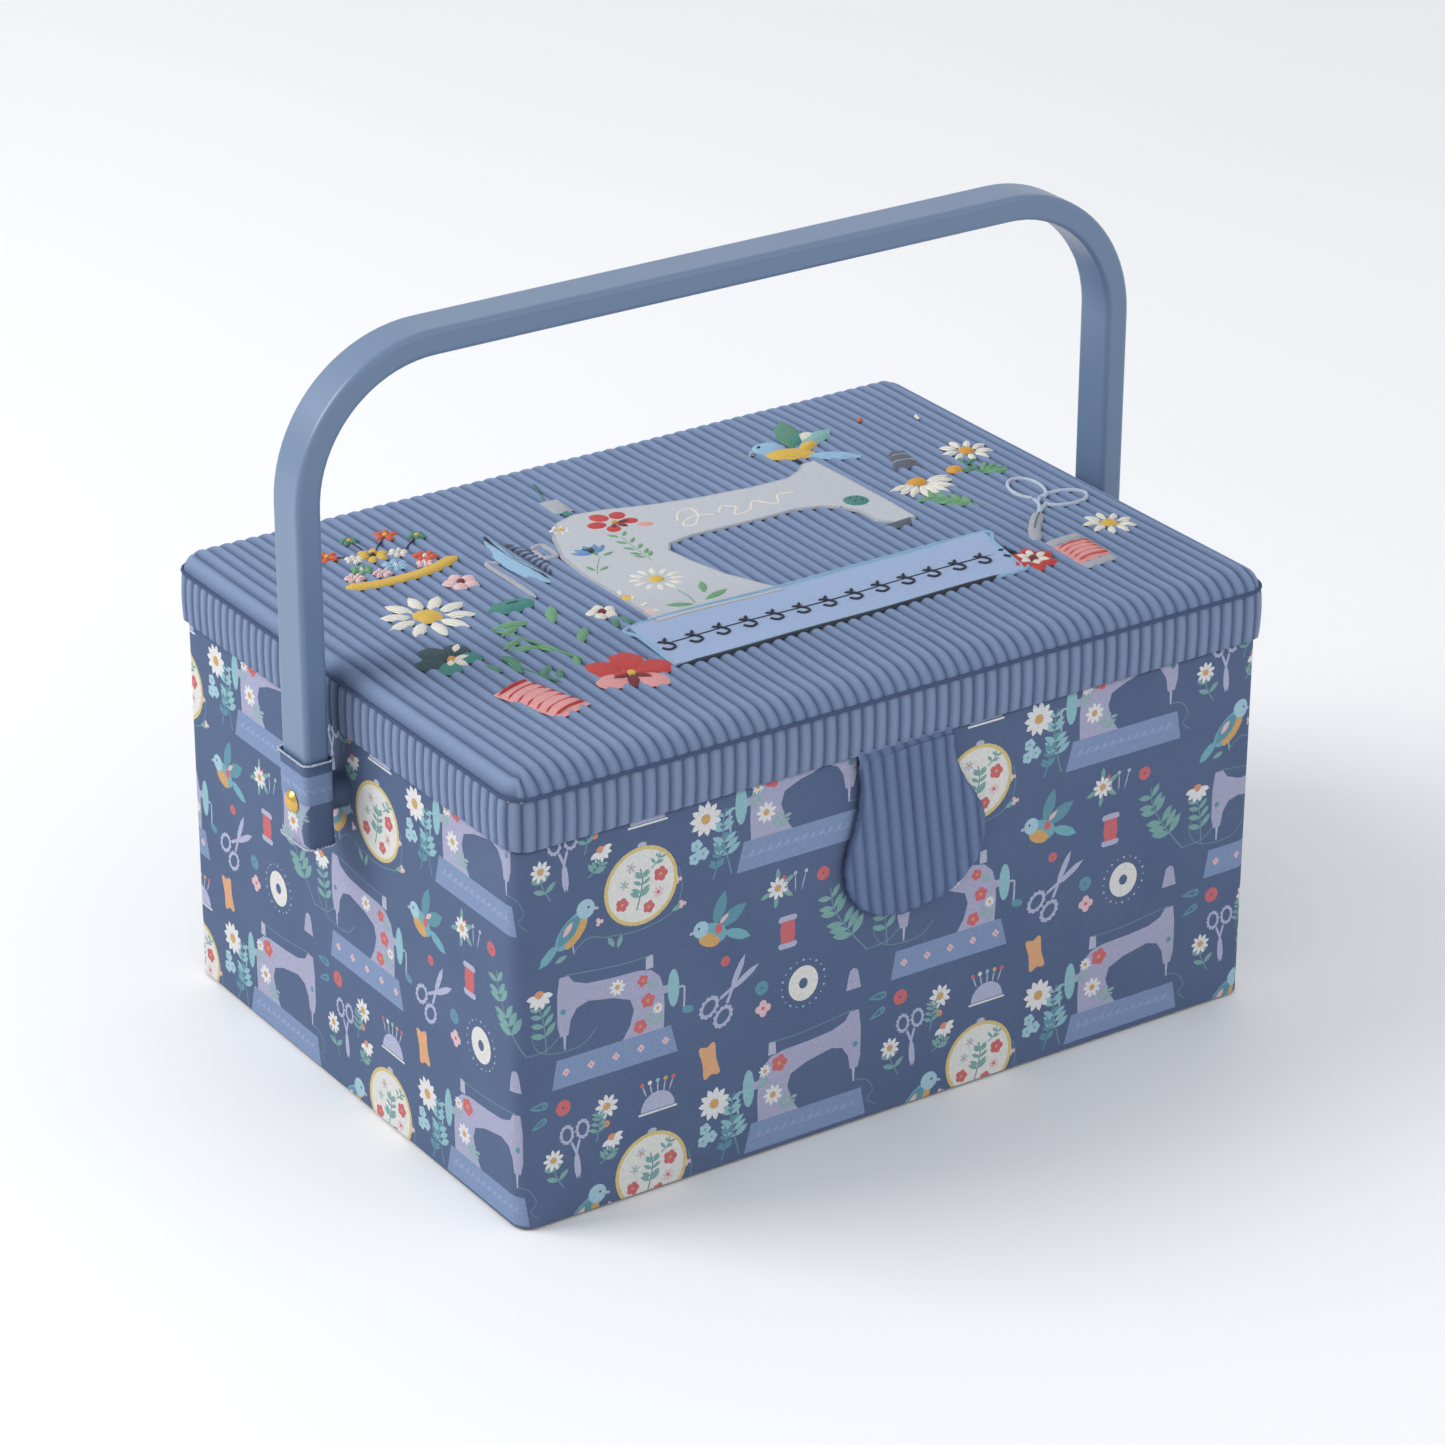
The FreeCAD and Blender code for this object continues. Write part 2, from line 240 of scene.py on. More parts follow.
def darker(colour, share):
    """A colour with its light scaled by a share, at most white."""
    return tuple(min(1.0, c * share) for c in colour)


def paint(red, green, blue):
    """A colour as it is named on screen, from 0 to 255, made linear for the shader."""
    share = np.array([red, green, blue]) / 255
    linear = np.where(share <= 0.04045, share / 12.92, ((share + 0.055) / 1.055) ** 2.4)
    return tuple(float(c) for c in linear)


print("middle grey on screen is", round(paint(128, 128, 128)[0], 3), "of the light of white")

# %% [markdown]
# ## Surfaces from arrays
# A piece is a grid of points worked out at once. Rows run along one parameter and columns along the other,
# and the faces follow from the grid's shape. A grid can be closed round either way.


# %% Grids into meshes
def grid_faces(rows, columns, round_rows=False, round_columns=False):
    """Quads of a grid: each joins a point, the next in its row, and the same two in the next row."""
    row = np.arange(rows if round_rows else rows - 1)[:, None]
    column = np.arange(columns if round_columns else columns - 1)[None, :]
    next_row, next_column = (row + 1) % rows, (column + 1) % columns
    corners = (row * columns + column, row * columns + next_column,
               next_row * columns + next_column, next_row * columns + column)
    return np.stack([np.broadcast_to(c, (row.size, column.size)) for c in corners], -1).reshape(-1, 4)


def make_piece(name, points, faces, finish):
    """A mesh object from points in millimetres and lists of corner numbers."""
    mesh = bpy.data.meshes.new(name)
    points = np.asarray(points, float).reshape(-1, 3) * MM
    mesh.from_pydata(points.tolist(), [], [list(map(int, f)) for f in faces])
    mesh.polygons.foreach_set("use_smooth", np.ones(len(mesh.polygons), bool))
    piece = bpy.data.objects.new(name, mesh)
    bpy.context.scene.collection.objects.link(piece)
    mesh.materials.append(finish.material)
    return piece


def grid_piece(name, points, finish, round_rows=False, round_columns=False, flip=False):
    """A piece from an array of points with rows, columns and three coordinates."""
    faces = grid_faces(points.shape[0], points.shape[1], round_rows, round_columns)
    if flip:
        faces = faces[:, ::-1]
    return make_piece(name, points, faces, finish)


def capped(rows, columns):
    """Quads of a tube whose columns close round, and one face over each end."""
    caps = [list(range(columns))[::-1], list(range((rows - 1) * columns, rows * columns))]
    return [list(quad) for quad in grid_faces(rows, columns, False, True)] + caps


def face_outward(piece, merge=0):
    """Joins points nearer than some millimetres, then turns every face outward."""
    mesh = bmesh.new()
    mesh.from_mesh(piece.data)
    if merge:
        bmesh.ops.remove_doubles(mesh, verts=mesh.verts, dist=merge * MM)
    bmesh.ops.recalc_face_normals(mesh, faces=mesh.faces)
    mesh.to_mesh(piece.data)
    mesh.free()


# %% What a piece carries and where it belongs
def point_value(piece, name, values):
    """Stores one number for each point of a piece, for its material to read."""
    attribute = piece.data.attributes.new(name, "FLOAT", "POINT")
    attribute.data.foreach_set("value", np.asarray(values, np.float32).ravel())


def settle(piece, body, slot, *nodes):
    """The piece rides on a body and stands for engineering nodes. The slot is not used."""
    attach(piece, body)
    if nodes:
        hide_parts(*nodes)
    print(piece.name, len(piece.data.polygons), "faces on", body)


def thicken(piece, thickness):
    """Gives an open surface a wall of some millimetres on its inner side, and keeps that as its mesh."""
    wall = piece.modifiers.new("wall", "SOLIDIFY")
    wall.thickness = thickness * MM
    wall.offset = -1.0
    shaped = bpy.data.meshes.new_from_object(piece.evaluated_get(bpy.context.evaluated_depsgraph_get()))
    piece.modifiers.clear()
    piece.data = shaped


# %% [markdown]
# ## Drawing with outlines
# The print on the cotton and the embroidery on the lid are drawings. A drawing is a list of closed outlines,
# each with a colour's name, laid one over another. A few strokes make them all: ovals, leaves, ribbons and
# rings of petals. The motifs are this lesson's own: plain sewing things and flowers, with no lettering.


# %% Strokes
def oval(x, y, wide, high=None, lean=0, count=16):
    """Points round an ellipse of half-width wide and half-height high."""
    high = wide if high is None else high
    t = np.linspace(0, 2 * np.pi, count, endpoint=False)
    return turned(np.stack([wide * np.cos(t), high * np.sin(t)], 1), lean) + (x, y)


def turned(points, degrees):
    """Points turned about the origin, anticlockwise."""
    a = math.radians(degrees)
    return np.asarray(points, float) @ np.array([[math.cos(a), math.sin(a)], [-math.sin(a), math.cos(a)]])


def leaf(x, y, angle, length, width, blunt=0.8, count=4):
    """A pointed oval from its stalk: half-width goes as a power of a sine along the length."""
    t = np.linspace(0, 1, count + 1)
    half = width / 2 * np.sin(np.pi * t) ** blunt
    edge = np.stack([length * t, half], 1)
    other = np.stack([length * t[-2:0:-1], -half[-2:0:-1]], 1)
    return turned(np.concatenate([edge, other]), angle) + (x, y)


def smooth_path(points, steps=4):
    """A curve through points, each stretch bent by its neighbours (Catmull and Rom's formula)."""
    p = np.asarray(points, float)
    p = np.concatenate([2 * p[:1] - p[1:2], p, 2 * p[-1:] - p[-2:-1]])
    t = np.linspace(0, 1, steps, endpoint=False)[:, None]
    spans = [((2 * t**3 - 3 * t**2 + 1) * b + (t**3 - 2 * t**2 + t) * (c - a) / 2
              + (3 * t**2 - 2 * t**3) * c + (t**3 - t**2) * (d - b) / 2)
             for a, b, c, d in zip(p[:-3], p[1:-2], p[2:-1], p[3:])]
    return np.concatenate(spans + [p[-2:-1]])


def sideways(line):
    """At each point of a path, a step of length 1 to its left."""
    run = np.gradient(line, axis=0)
    return np.stack([-run[:, 1], run[:, 0]], 1) / np.maximum(np.linalg.norm(run, axis=1), 1e-9)[:, None]


def ribbon(points, width, steps=4):
    """The outline of a smooth line of some width."""
    line = smooth_path(points, steps)
    side = sideways(line) * width / 2
    return np.concatenate([line + side, (line - side)[::-1]])


def petals(x, y, count, inner, outer, width, lean=0, spread=360, blunt=0.6):
    """Leaves set round a centre, over a whole turn or part of one."""
    angles = lean + np.arange(count) * spread / (count if spread == 360 else max(count - 1, 1))
    return [leaf(x + inner * math.cos(math.radians(a)), y + inner * math.sin(math.radians(a)), a,
                 outer - inner, width, blunt) for a in angles]


def enclosed(outline):
    """The area inside an outline: half the sum of cross products of neighbours, below 0 if clockwise."""
    x, y = np.asarray(outline, float).T
    return np.sum(x * np.roll(y, -1) - y * np.roll(x, -1)) / 2


def anticlockwise(outline):
    """The same outline, turned round if it runs clockwise."""
    return np.asarray(outline, float)[::1 if enclosed(outline) > 0 else -1]


def drawn(colour, *outlines):
    """Outlines that share a colour."""
    return [(colour, anticlockwise(o)) for o in outlines]


def put(motif, x, y, size=1.0, lean=0, mirror=False):
    """A motif moved into place, scaled, turned and, if asked, drawn the other way round."""
    flip = np.array([-1.0 if mirror else 1.0, 1.0])
    return [(colour, anticlockwise(turned(outline * flip * size, lean) + (x, y))) for colour,
            outline in motif]


# %% Motifs: flowers and leaves
def daisy(radius=4.0, count=9, heart="gold", petal="white"):
    """A ring of pointed petals about a heart."""
    return (drawn(petal, *petals(0, 0, count, radius * 0.2, radius, radius * 0.38, 15))
            + drawn(heart, oval(0, 0, radius * 0.3, count=8)))


def side_daisy(radius=4.5):
    """A daisy from the side: half a ring of petals hangs from its heart."""
    return (drawn("white", *petals(0, 0, 6, radius * 0.15, radius, radius * 0.4, 190, 160))
            + drawn("orange", oval(0, radius * 0.1, radius * 0.34, radius * 0.24, count=8)))


def sprig(height, pairs, leaf_length, colour="sage", stalk="stem", bend=2.0):
    """A bent stalk with pairs of leaves that shrink towards its tip."""
    bends = [(0, 0), (bend * 0.7, height * 0.4), (bend, height * 0.75), (bend * 0.6, height)]
    line = smooth_path(bends)
    motif = drawn(stalk, ribbon(bends, 0.45))
    for pair in range(pairs):
        at = line[int((0.25 + 0.72 * pair / pairs) * (len(line) - 1))]
        long = leaf_length * (1 - 0.35 * pair / pairs)
        motif += drawn(colour, leaf(*at, 32, long, long * 0.38), leaf(*at, 148, long, long * 0.38))
    return motif


def blossom(radius, colour, heart="gold", count=5):
    """Round petals that touch, about a small heart."""
    t = np.arange(count) * 2 * np.pi / count
    return (drawn(colour, *[oval(radius * 0.55 * math.cos(a), radius * 0.55 * math.sin(a), radius * 0.48,
                                 count=8) for a in t])
            + drawn(heart, oval(0, 0, radius * 0.24, count=6)))


print("a daisy is", len(daisy()), "outlines; a blossom is", len(blossom(2, "coral")))


# %% Motifs: the machine
def machine(decor):
    """A plain old-fashioned sewing machine: base, column, arm, head and hand wheel. Faces right."""
    base = [(-22, 0), (22.5, 0), (20.8, 9.6), (-19.5, 9.6)]
    body = np.array([(-17.0, 9.6), (-17.3, 17), (-17.0, 23), (-15.6, 27.5), (-12.5, 30.4), (-8, 31.4),
                     (2, 31.8), (10, 32.6), (14.6, 34.4), (16.4, 37), (19.6, 37), (20.4, 31), (20.4, 21),
                     (19.4, 17.2), (16.6, 17.2), (15.8, 22), (13.6, 25.4), (9.6, 26.6), (0.5, 24.8),
                     (-5.2, 22.4), (-6.4, 18.6), (-5.0, 13.6), (-2.4, 9.6)])
    motif = drawn("lavender", body) + drawn("periwinkle", base)
    motif += drawn("mint", oval(-20.5, 22, 2.1, 6.4, count=14)) + drawn("lavender", [(-18.6, 21), (-16.8, 21),
                                                                                  (-16.8, 23.6),
                                                                                     (-18.6, 23.6)])
    motif += drawn("lilac", ribbon([(-22.6, 21.5), (-24.4, 21.2), (-24.2, 14.2)], 0.7, 2))
    motif += drawn("teal", oval(-25.6, 13.2, 2.3, 1.4, 15, 8))
    motif += drawn("silver", [(17.4, 17.2), (18.4, 17.2), (18.2, 12.6), (17.7, 12.6)],
                   [(-13.4, 31), (-10.6, 31), (-10.8, 35.4), (-13.2, 35.4)])
    motif += drawn("teal", oval(18.4, 25.4, 1.0, count=8))
    motif += drawn("stem", ribbon([(-12, 35.2), (0, 35.4), (17.6, 37.4)], 0.3, 3))
    if decor == "sprays":
        motif += put(daisy(3.6), -11.6, 17.2)
        motif += put(sprig(8, 3, 4.4, "pale_leaf", "pale_leaf"), -9.4, 9.9, 0.9, -24)
        motif += put(blossom(2.9, "coral"), -9.4, 27.4) + put(daisy(2.3), -14.6, 26.2)
        motif += put(sprig(6, 3, 3.6, "pale_leaf", "pale_leaf"), -15.4, 19.4, 0.8, 20)
        leaves = [leaf(-17.5 + 3.1 * k, 4.6, 40, 2.6, 1.0) for k in range(12)]
        motif += drawn("haze", ribbon([(-19, 4.4), (0, 4.8), (20, 4.4)], 0.3, 3), *leaves)
    else:
        motif += put(daisy(2.9), -0.6, 28.0) + put(blossom(2.5, "coral"), -11.4, 20.4, 1, 20)
        motif += put(blossom(2.4, "coral"), -8.6, 12.4, 1, 50) + put(blossom(2.0, "coral"), -9.6, 27.6)
        motif += put(sprig(7, 3, 4.0, "pale_leaf", "pale_leaf"), -14.8, 9.9, 0.9, 4)
        motif += put(daisy(2.0), -14.9, 16.8)
        motif += put(sprig(6, 3, 3.4, "pale_leaf", "pale_leaf"), -14.2, 22.6, 0.8)
        for k in range(5):
            motif += put(blossom(1.3, "blush", "coral", 4), -17.6 + 8.8 * k, 4.9)
    return motif


print("a machine is", len(machine("sprays")), "outlines")


# %% Motifs: hoop and birds
def hoop():
    """An embroidery hoop with flowers worked in it."""
    motif = drawn("silver", oval(0.4, 12.8, 1.6, 0.9, count=8))
    motif += drawn("butter", oval(0, 0, 12.4, count=30))
    motif += drawn("ivory", oval(0, 0, 11.2, count=30))
    motif += put(sprig(13, 5, 4.0, "sage", "stem"), -1.5, -7.5) + put(blossom(2.4, "coral"), 6.6, 2.0)
    motif += put(blossom(2.2, "coral"), -6.4, -4.4) + put(blossom(2.0, "coral", "gold"), 2.6, -7.4)
    motif += put(daisy(2.0, 7, "coral", "blush"), 5.8, -3.6)
    motif += put(daisy(1.7, 6, "gold", "mint"), -5.6, 1.6)
    motif += put(daisy(1.8, 6, "gold", "lilac"), -3.4, 6.4)
    motif += put(sprig(5, 2, 2.8, "sage", "sage"), 3.4, 4.6, 1, -20)
    return motif


def perched_bird():
    """A bird with its wing folded, its tail down to the left."""
    motif = drawn("sky", leaf(-3.6, -3.2, 232, 7.6, 2.6, 0.4))
    motif += drawn("sky", oval(0, 0, 6.2, 3.0, 52, 14))
    motif += drawn("gold", oval(1.4, -1.0, 4.7, 1.7, 56, 12))
    motif += drawn("teal", leaf(2.2, 4.4, 236, 10.5, 4.2))
    motif += drawn("pale_sky", oval(3.4, 5.4, 2.7, count=12))
    motif += drawn("ink", oval(4.2, 5.8, 0.4, count=6))
    motif += drawn("silver", leaf(5.6, 5.4, -10, 1.8, 0.9), ribbon([(0.8, -4), (1.6, -6.4)], 0.35, 2))
    return motif + drawn("blush", leaf(0.0, 2.4, 240, 4.6, 1.7))


def flying_bird():
    """A bird with both wings up, flying left."""
    motif = drawn("sky", leaf(2.2, 0.0, -24, 8.6, 2.8, 0.4))
    motif += drawn("teal", leaf(-0.6, 1.8, 72, 10.0, 3.6))
    motif += drawn("teal", leaf(0.6, 1.4, 30, 9.4, 4.0))
    motif += drawn("sky", oval(-1.4, 0.4, 4.6, 2.9, -20, 14))
    motif += drawn("gold", oval(-2.2, -1.2, 3.3, 1.8, -24, 12))
    motif += drawn("pale_sky", oval(-4.6, 2.4, 2.3, count=12))
    motif += drawn("silver", leaf(-6.4, 2.2, 190, 1.7, 0.9))
    motif += drawn("ink", oval(-5.2, 2.8, 0.38, count=6))
    return motif + drawn("coral", oval(0.6, 1.2, 1.1, 1.4, 0, 8)) + drawn("blush",
                                                                          leaf(0.8, 2.4, 40, 3.6, 1.3))


print("a hoop is", len(hoop()), "outlines; the birds are", len(perched_bird()), "and", len(flying_bird()))


# %% Motifs: small sewing things
def scissors(spread=17, blade=13.5):
    """Two crossed blades and two scalloped finger rings."""
    motif = []
    for side in (1, -1):
        ring = np.array([-side * 3.2, -8.4])
        motif += drawn("lilac", leaf(0, -1.0, 90 - side * spread / 2, blade, 2.0, 0.35),
                       ribbon([(0, 0), tuple(ring * (0.5, 0.55))], 1.0, 2))
        motif += drawn("lilac", *[oval(*(ring + 3.3 * np.array([0.72 * math.cos(a), math.sin(a)])), 0.75,
                                       count=6) for a in np.arange(12) * math.pi / 6])
        motif += drawn("lilac", oval(*ring, 2.7, 3.5, count=14))
        motif += drawn("ground", oval(*ring, 1.8, 2.6, count=12))
    return motif


def reel(thread):
    """A reel with round-cornered ends and a slightly barrelled winding."""
    end = [(-2.2, -1.0), (-3.1, -0.7), (-3.2, 0.1), (-2.6, 0.9), (0, 1.0), (2.6, 0.9), (3.2, 0.1),
           (3.1, -0.7),
           (2.2, -1.0)]
    return (drawn("lilac", [(x, 4.3 + y) for x, y in end], [(x, -4.3 - y) for x, y in end])
            + drawn(thread, [(-2.2, -3.5), (2.2, -3.5), (2.6, 0), (2.2, 3.5), (-2.2, 3.5), (-2.6, 0)]))


def cotton_card():
    """Thread wound on a card."""
    return drawn("apricot", smooth_path([(-1.9, -5.7), (0, -4.9), (1.9, -5.7), (3.0, -4.9), (2.5, 0),
                                         (3.0, 4.9),
                                         (1.9, 5.7), (0, 4.9), (-1.9, 5.7), (-3.0, 4.9), (-2.5, 0),
                                         (-3.0, -4.9),
                                         (-2.2, -5.7)], 3))


def ring_button():
    """A white ring in a ring of pin heads."""
    motif = []
    for k in range(20):
        a = k * math.pi / 10
        motif += drawn("silver", oval(8.2 * math.cos(a), 8.2 * math.sin(a), 0.45 if k % 2 else 0.3, count=5))
    return motif + drawn("ivory", oval(0, 0, 5.6, 6.1, 0, 22)) + drawn("ground", oval(0, 0, 1.7, 1.9, 0, 10))


def pincushion_motif():
    """Half a dome on a thin white line, with pins in it."""
    motif = drawn("lilac", [(4.6 * math.cos(a), -2.4 + 4.6 * math.sin(a)) for a in np.linspace(0, np.pi, 13)])
    motif += drawn("white", [(-5.2, -3.1), (5.2, -3.1), (5.2, -2.6), (-5.2, -2.6)])
    for k, colour in enumerate(("coral", "white", "mint", "gold", "coral")):
        x, lean = -3.0 + 1.5 * k, 110 - 10 * k
        motif += drawn("silver", leaf(x, 1.4, lean, 3.6, 0.4)) + drawn(colour, oval(
            x + 3.6 * math.cos(math.radians(lean)), 1.4 + 3.6 * math.sin(math.radians(lean)), 0.6, count=6))
    return motif


def thimble():
    """A thimble standing on its rim."""
    return drawn("lavender", [(-2.6, -3.4), (2.6, -3.4), (1.9, 0.5), (1.3, 2.8), (0, 3.5), (-1.3, 2.8),
                              (-1.9, 0.5)])


def safety_pin():
    """Two thin wires and a round head."""
    return (drawn("teal", leaf(-3.8, 0, 12, 7.4, 0.9, 0.3), leaf(-3.8, 0, -12, 7.4, 0.9, 0.3))
            + drawn("teal", oval(3.2, 0, 1.3, 1.6, 0, 8)) + drawn("ground", oval(3.0, 0, 0.5, count=6)))


print("scissors are", len(scissors()), "outlines; a reel is", len(reel("coral")))

# %% [markdown]
# ## The repeat of the print
# Printed cotton repeats: one block of drawings comes again every 116 mm along and 92 mm up. So the block is
# laid out once, with places in millimetres on the front wall, and then copied over the whole strip.


# %% One block of the print
def motif_block():
    """Every motif of one repeat, the ones behind first."""
    block = put(machine("blossoms"), -98.2, 43.0, 0.94, 0, True)
    block += put(machine("sprays"), -33.6, 2.0, 0.96)
    block += drawn("stem", ribbon([(-104.4, 58.8), (-110, 54.6), (-121, 55.2), (-125.6, 60), (-124.6, 66)],
                                  0.28, 4))
    block += drawn("stem", ribbon([(-16.2, 14.4), (-12, 13.4), (-9.4, 9.4), (-11.4, 6.6), (-8.4, 4)], 0.28,
                                  4))
    block += put(perched_bird(), -112.4, 91.4, 1.12, -8) + put(flying_bird(), -64.4, 76.6, 1.15)
    block += drawn("stem", ribbon([(-101, 86), (-107, 87.6), (-112, 84.4)], 0.3, 4),
                   ribbon([(-101, 86.2), (-90, 85.2), (-79, 88), (-76, 95), (-77, 101)], 0.3, 4))
    for x, z, lean in ((-114, 84.2, 200), (-100.6, 86, 300), (-96, 85.6, 250), (-79.6, 88, 20),
                       (-77, 96, 130)):
        block += drawn("sage", leaf(x, z, lean, 4.2, 1.7))
    for x, z in ((-103.4, 91.6), (-76, 89.4), (-77.4, 97.4)):
        block += put(blossom(1.4, "blush", "white", 3), x, z)
    block += put(hoop(), -89.6, 98.9, 0.98)
    block += put(scissors(33, 11.4), -58.9, 57.8, 1.0, -42)
    block += put(scissors(5, 11.6), -111.6, 20.8, 0.82, 184)
    block += put(reel("coral"), -40.1, 70.1) + put(cotton_card(), -66.8, 36.4, 0.95, 10)
    block += put(ring_button(), -34.5, 51.9, 0.92) + put(pincushion_motif(), -84.3, 29.4, 1.25)
    block += put(thimble(), -16.8, 48.1) + put(safety_pin(), -8.6, 39.6, 0.8)
    block += put(safety_pin(), -8.4, 33.8, 0.72, 24)
    for x, z, size, colour in ((-115.8, 36.5, 2.5, "coral"), (-48.9, 54.6, 2.3, "teal"),
                               (-28, 85.4, 2.2, "coral"),
                               (-61.4, 66.9, 1.6, "coral"), (-101.6, 26.9, 1.1, "orange")):
        block += drawn(colour, oval(x, z, size, count=12))
        block += drawn("ground", oval(x, z, size * 0.2, count=5))
    block += put(blossom(2.7, "blush", "coral", 4), -48.4, 47.8)
    block += drawn("sage", *petals(-43.6, 85, 5, 2, 6.4, 1.5, 200, 250)) + put(daisy(3.7), -43.6, 85.0)
    for x, lean, colour in ((-39.6, 108, "coral"), (-37.6, 90, "lilac"), (-35.6, 74, "silver")):
        head = (x + 6.2 * math.cos(math.radians(lean)), 82 + 6.2 * math.sin(math.radians(lean)))
        block += drawn("silver", leaf(x, 82, lean, 6.2, 0.4)) + drawn(colour, oval(*head, 0.7, count=6))
    block += put(sprig(17, 4, 5.2), -121, 55.6, 1.0, 16) + put(side_daisy(4.6), -123.2, 74.2)
    block += put(sprig(27, 6, 7.0, "sage", "stem", -4), -12.2, 56.2, 1.0, 24)
    block += drawn("stem", ribbon([(-12.2, 56.4), (-4, 57.6), (2.4, 64.6), (5, 72)], 0.32, 4))
    block += put(daisy(4.0), -101.4, 32.5) + put(side_daisy(3.9), -99.8, 21.9, 1.0, 24)
    block += put(sprig(10, 4, 3.4), -104.9, 22, 1.0, 8) + put(sprig(6, 3, 3.6), -104, 14.6, 1.0, -30)
    block += put(sprig(10, 2, 4.4, "sage", "stem", -2), -116, 10.8, 1.0, 10)
    block += put(daisy(3.5), -119.2, 20.6)
    block += put(sprig(21, 6, 5.4, "mint", "stem", -3), -56.4, 2.6)
    block += put(sprig(11, 5, 3.2, "teal", "teal"), -62.6, 2.4)
    for x, z in ((-68.2, 14.4), (-66, 11.4), (-68.8, 10.6)):
        block += put(blossom(2.0, "pale_sky", "sage"), x, z)
    return block + put(daisy(5.4, 11), -65.1, 21.9)


inks = {"ground": (66, 86, 122), "lavender": (178, 176, 203), "periwinkle": (128, 150, 188),
        "haze": (152, 168, 204),
        "mint": (146, 198, 202), "teal": (86, 148, 160), "sky": (112, 176, 186), "pale_sky": (172, 210, 222),
        "silver": (190, 194, 210), "lilac": (186, 188, 214), "butter": (229, 202, 110),
        "ivory": (240, 238, 228),
        "white": (242, 241, 236), "gold": (222, 168, 66), "orange": (232, 150, 84),
        "apricot": (236, 172, 108),
        "coral": (216, 92, 80), "blush": (236, 196, 198), "sage": (122, 172, 160), "stem": (104, 142, 150),
        "pale_leaf": (150, 182, 178), "ink": (50, 56, 84)}
ink_colours = {name: paint(*numbers) for name, numbers in inks.items()}
block_of_print = motif_block()
along_repeat, up_repeat = np.array([115.8, 0.5]), np.array([-3.0, 91.6])
print("a block holds", len(block_of_print), "outlines and", sum(len(o) for _, o in block_of_print), "points")


# %% Copies of the block
placed = [(colour, outline + along_repeat * i + up_repeat * j)
          for i in range(-3, 8) for j in range(-1, 3) for colour, outline in block_of_print]
placed_low = np.array([outline.min(0) for _, outline in placed])
placed_high = np.array([outline.max(0) for _, outline in placed])


def printed(low, high):
    """All motifs that touch a rectangle."""
    touching = (placed_low < high).all(1) & (placed_high > low).all(1)
    return [placed[k] for k in np.flatnonzero(touching)]


print(len(placed), "outlines over the strip")


# %% Cutting cloth along the drawing
def cut_drawing(drawing, outline):
    """Cuts an outline into triangles along the edges of every motif.
    Each triangle takes the colour of the last motif that covers it. Gives points, triangles, colours."""
    rings = [np.asarray(outline, float)] + [shape for _, shape in drawing]
    starts = np.cumsum([0] + [len(ring) for ring in rings])
    points = np.concatenate(rings)
    faces = [list(range(a, b)) for a, b in zip(starts[:-1], starts[1:])]
    places, _, triangles, _, _, owners = delaunay_2d_cdt(points.tolist(), [], faces, 0, 1e-5)
    colours = np.array([ink_colours["ground"]] + [ink_colours[name] for name, _ in drawing])
    inside = [k for k, owner in enumerate(owners) if 0 in owner]
    top = np.array([max(owners[k]) for k in inside])
    return np.array([tuple(p) for p in places]), np.array([triangles[k] for k in inside]), colours[top]


def cut_in_tiles(along, upward):
    """The print cut tile by tile, which is quick, between the given lines across and up.
    Points that neighbouring tiles share are then made one."""
    flats, faces, shades, count = [], [], [], 0
    for left, right_side in zip(along[:-1], along[1:]):
        for low, high in zip(upward[:-1], upward[1:]):
            tile = [(left, low), (right_side, low), (right_side, high), (left, high)]
            flat, triangles, colours = cut_drawing(printed(tile[0], tile[2]), tile)
            flats.append(flat)
            faces.append(triangles + count)
            shades.append(colours)
            count += len(flat)
    flat, faces = np.concatenate(flats), np.concatenate(faces)
    _, first, same = np.unique(np.round(flat * 2000).astype(np.int64), axis=0, return_index=True,
                               return_inverse=True)
    faces = same.ravel()[faces]
    whole = (faces[:, 0] != faces[:, 1]) & (faces[:, 1] != faces[:, 2]) & (faces[:, 2] != faces[:, 0])
    return flat[first], faces[whole], np.concatenate(shades)[whole]


def used_only(triangles, count):
    """Which of count points the triangles use, and the triangles numbered by those alone."""
    used = np.unique(triangles)
    renumber = np.zeros(count, int)
    renumber[used] = np.arange(len(used))
    return used, renumber[triangles]


def printed_piece(name, flat, triangles, colours, points):
    """A piece from a cut drawing: flat places become the cloth's own map, colours its print."""
    used, renumbered = used_only(triangles, len(flat))
    piece = make_piece(name, points[used], renumbered, print_finish)
    shade = piece.data.color_attributes.new("Print", "FLOAT_COLOR", "CORNER")
    shade.data.foreach_set("color", np.repeat(np.c_[colours, np.ones(len(colours))], 3, 0).ravel())
    layer = piece.data.uv_layers.new(name="Cloth")
    layer.data.foreach_set("uv", (flat[triangles.ravel()] * MM).ravel())
    return piece


# %% The printed cotton's finish
print_finish = Finish("printed_cotton", paint(66, 86, 122), 0.82, Specular_IOR_Level=0.25)
cloth_map = print_finish.attribute("Cloth", "Vector")
across, upward = print_finish.along(cloth_map, 0), print_finish.along(cloth_map, 1)
thread_pitch = 0.62 * MM
weave = (across * (2 * math.pi / thread_pitch)).sine() * (upward * (2 * math.pi / thread_pitch)).sine()
slubs = print_finish.noise(cloth_map, 900, 3)
fade = print_finish.noise(cloth_map, 30, 3)
print_colour = print_finish.mix(0.16, print_finish.attribute("Print"), paint(120, 134, 160))
print_colour = print_finish.mix(slubs * 0.34 + weave * 0.06, print_colour, paint(46, 58, 86))
print_finish.link("Base Color", print_finish.mix(fade * 0.12, print_colour, paint(150, 162, 186)))
print_finish.bump(weave * 0.5 + slubs, 0.35, 0.25 * MM)
print("printed cotton has", len(print_finish.tree.nodes), "nodes")

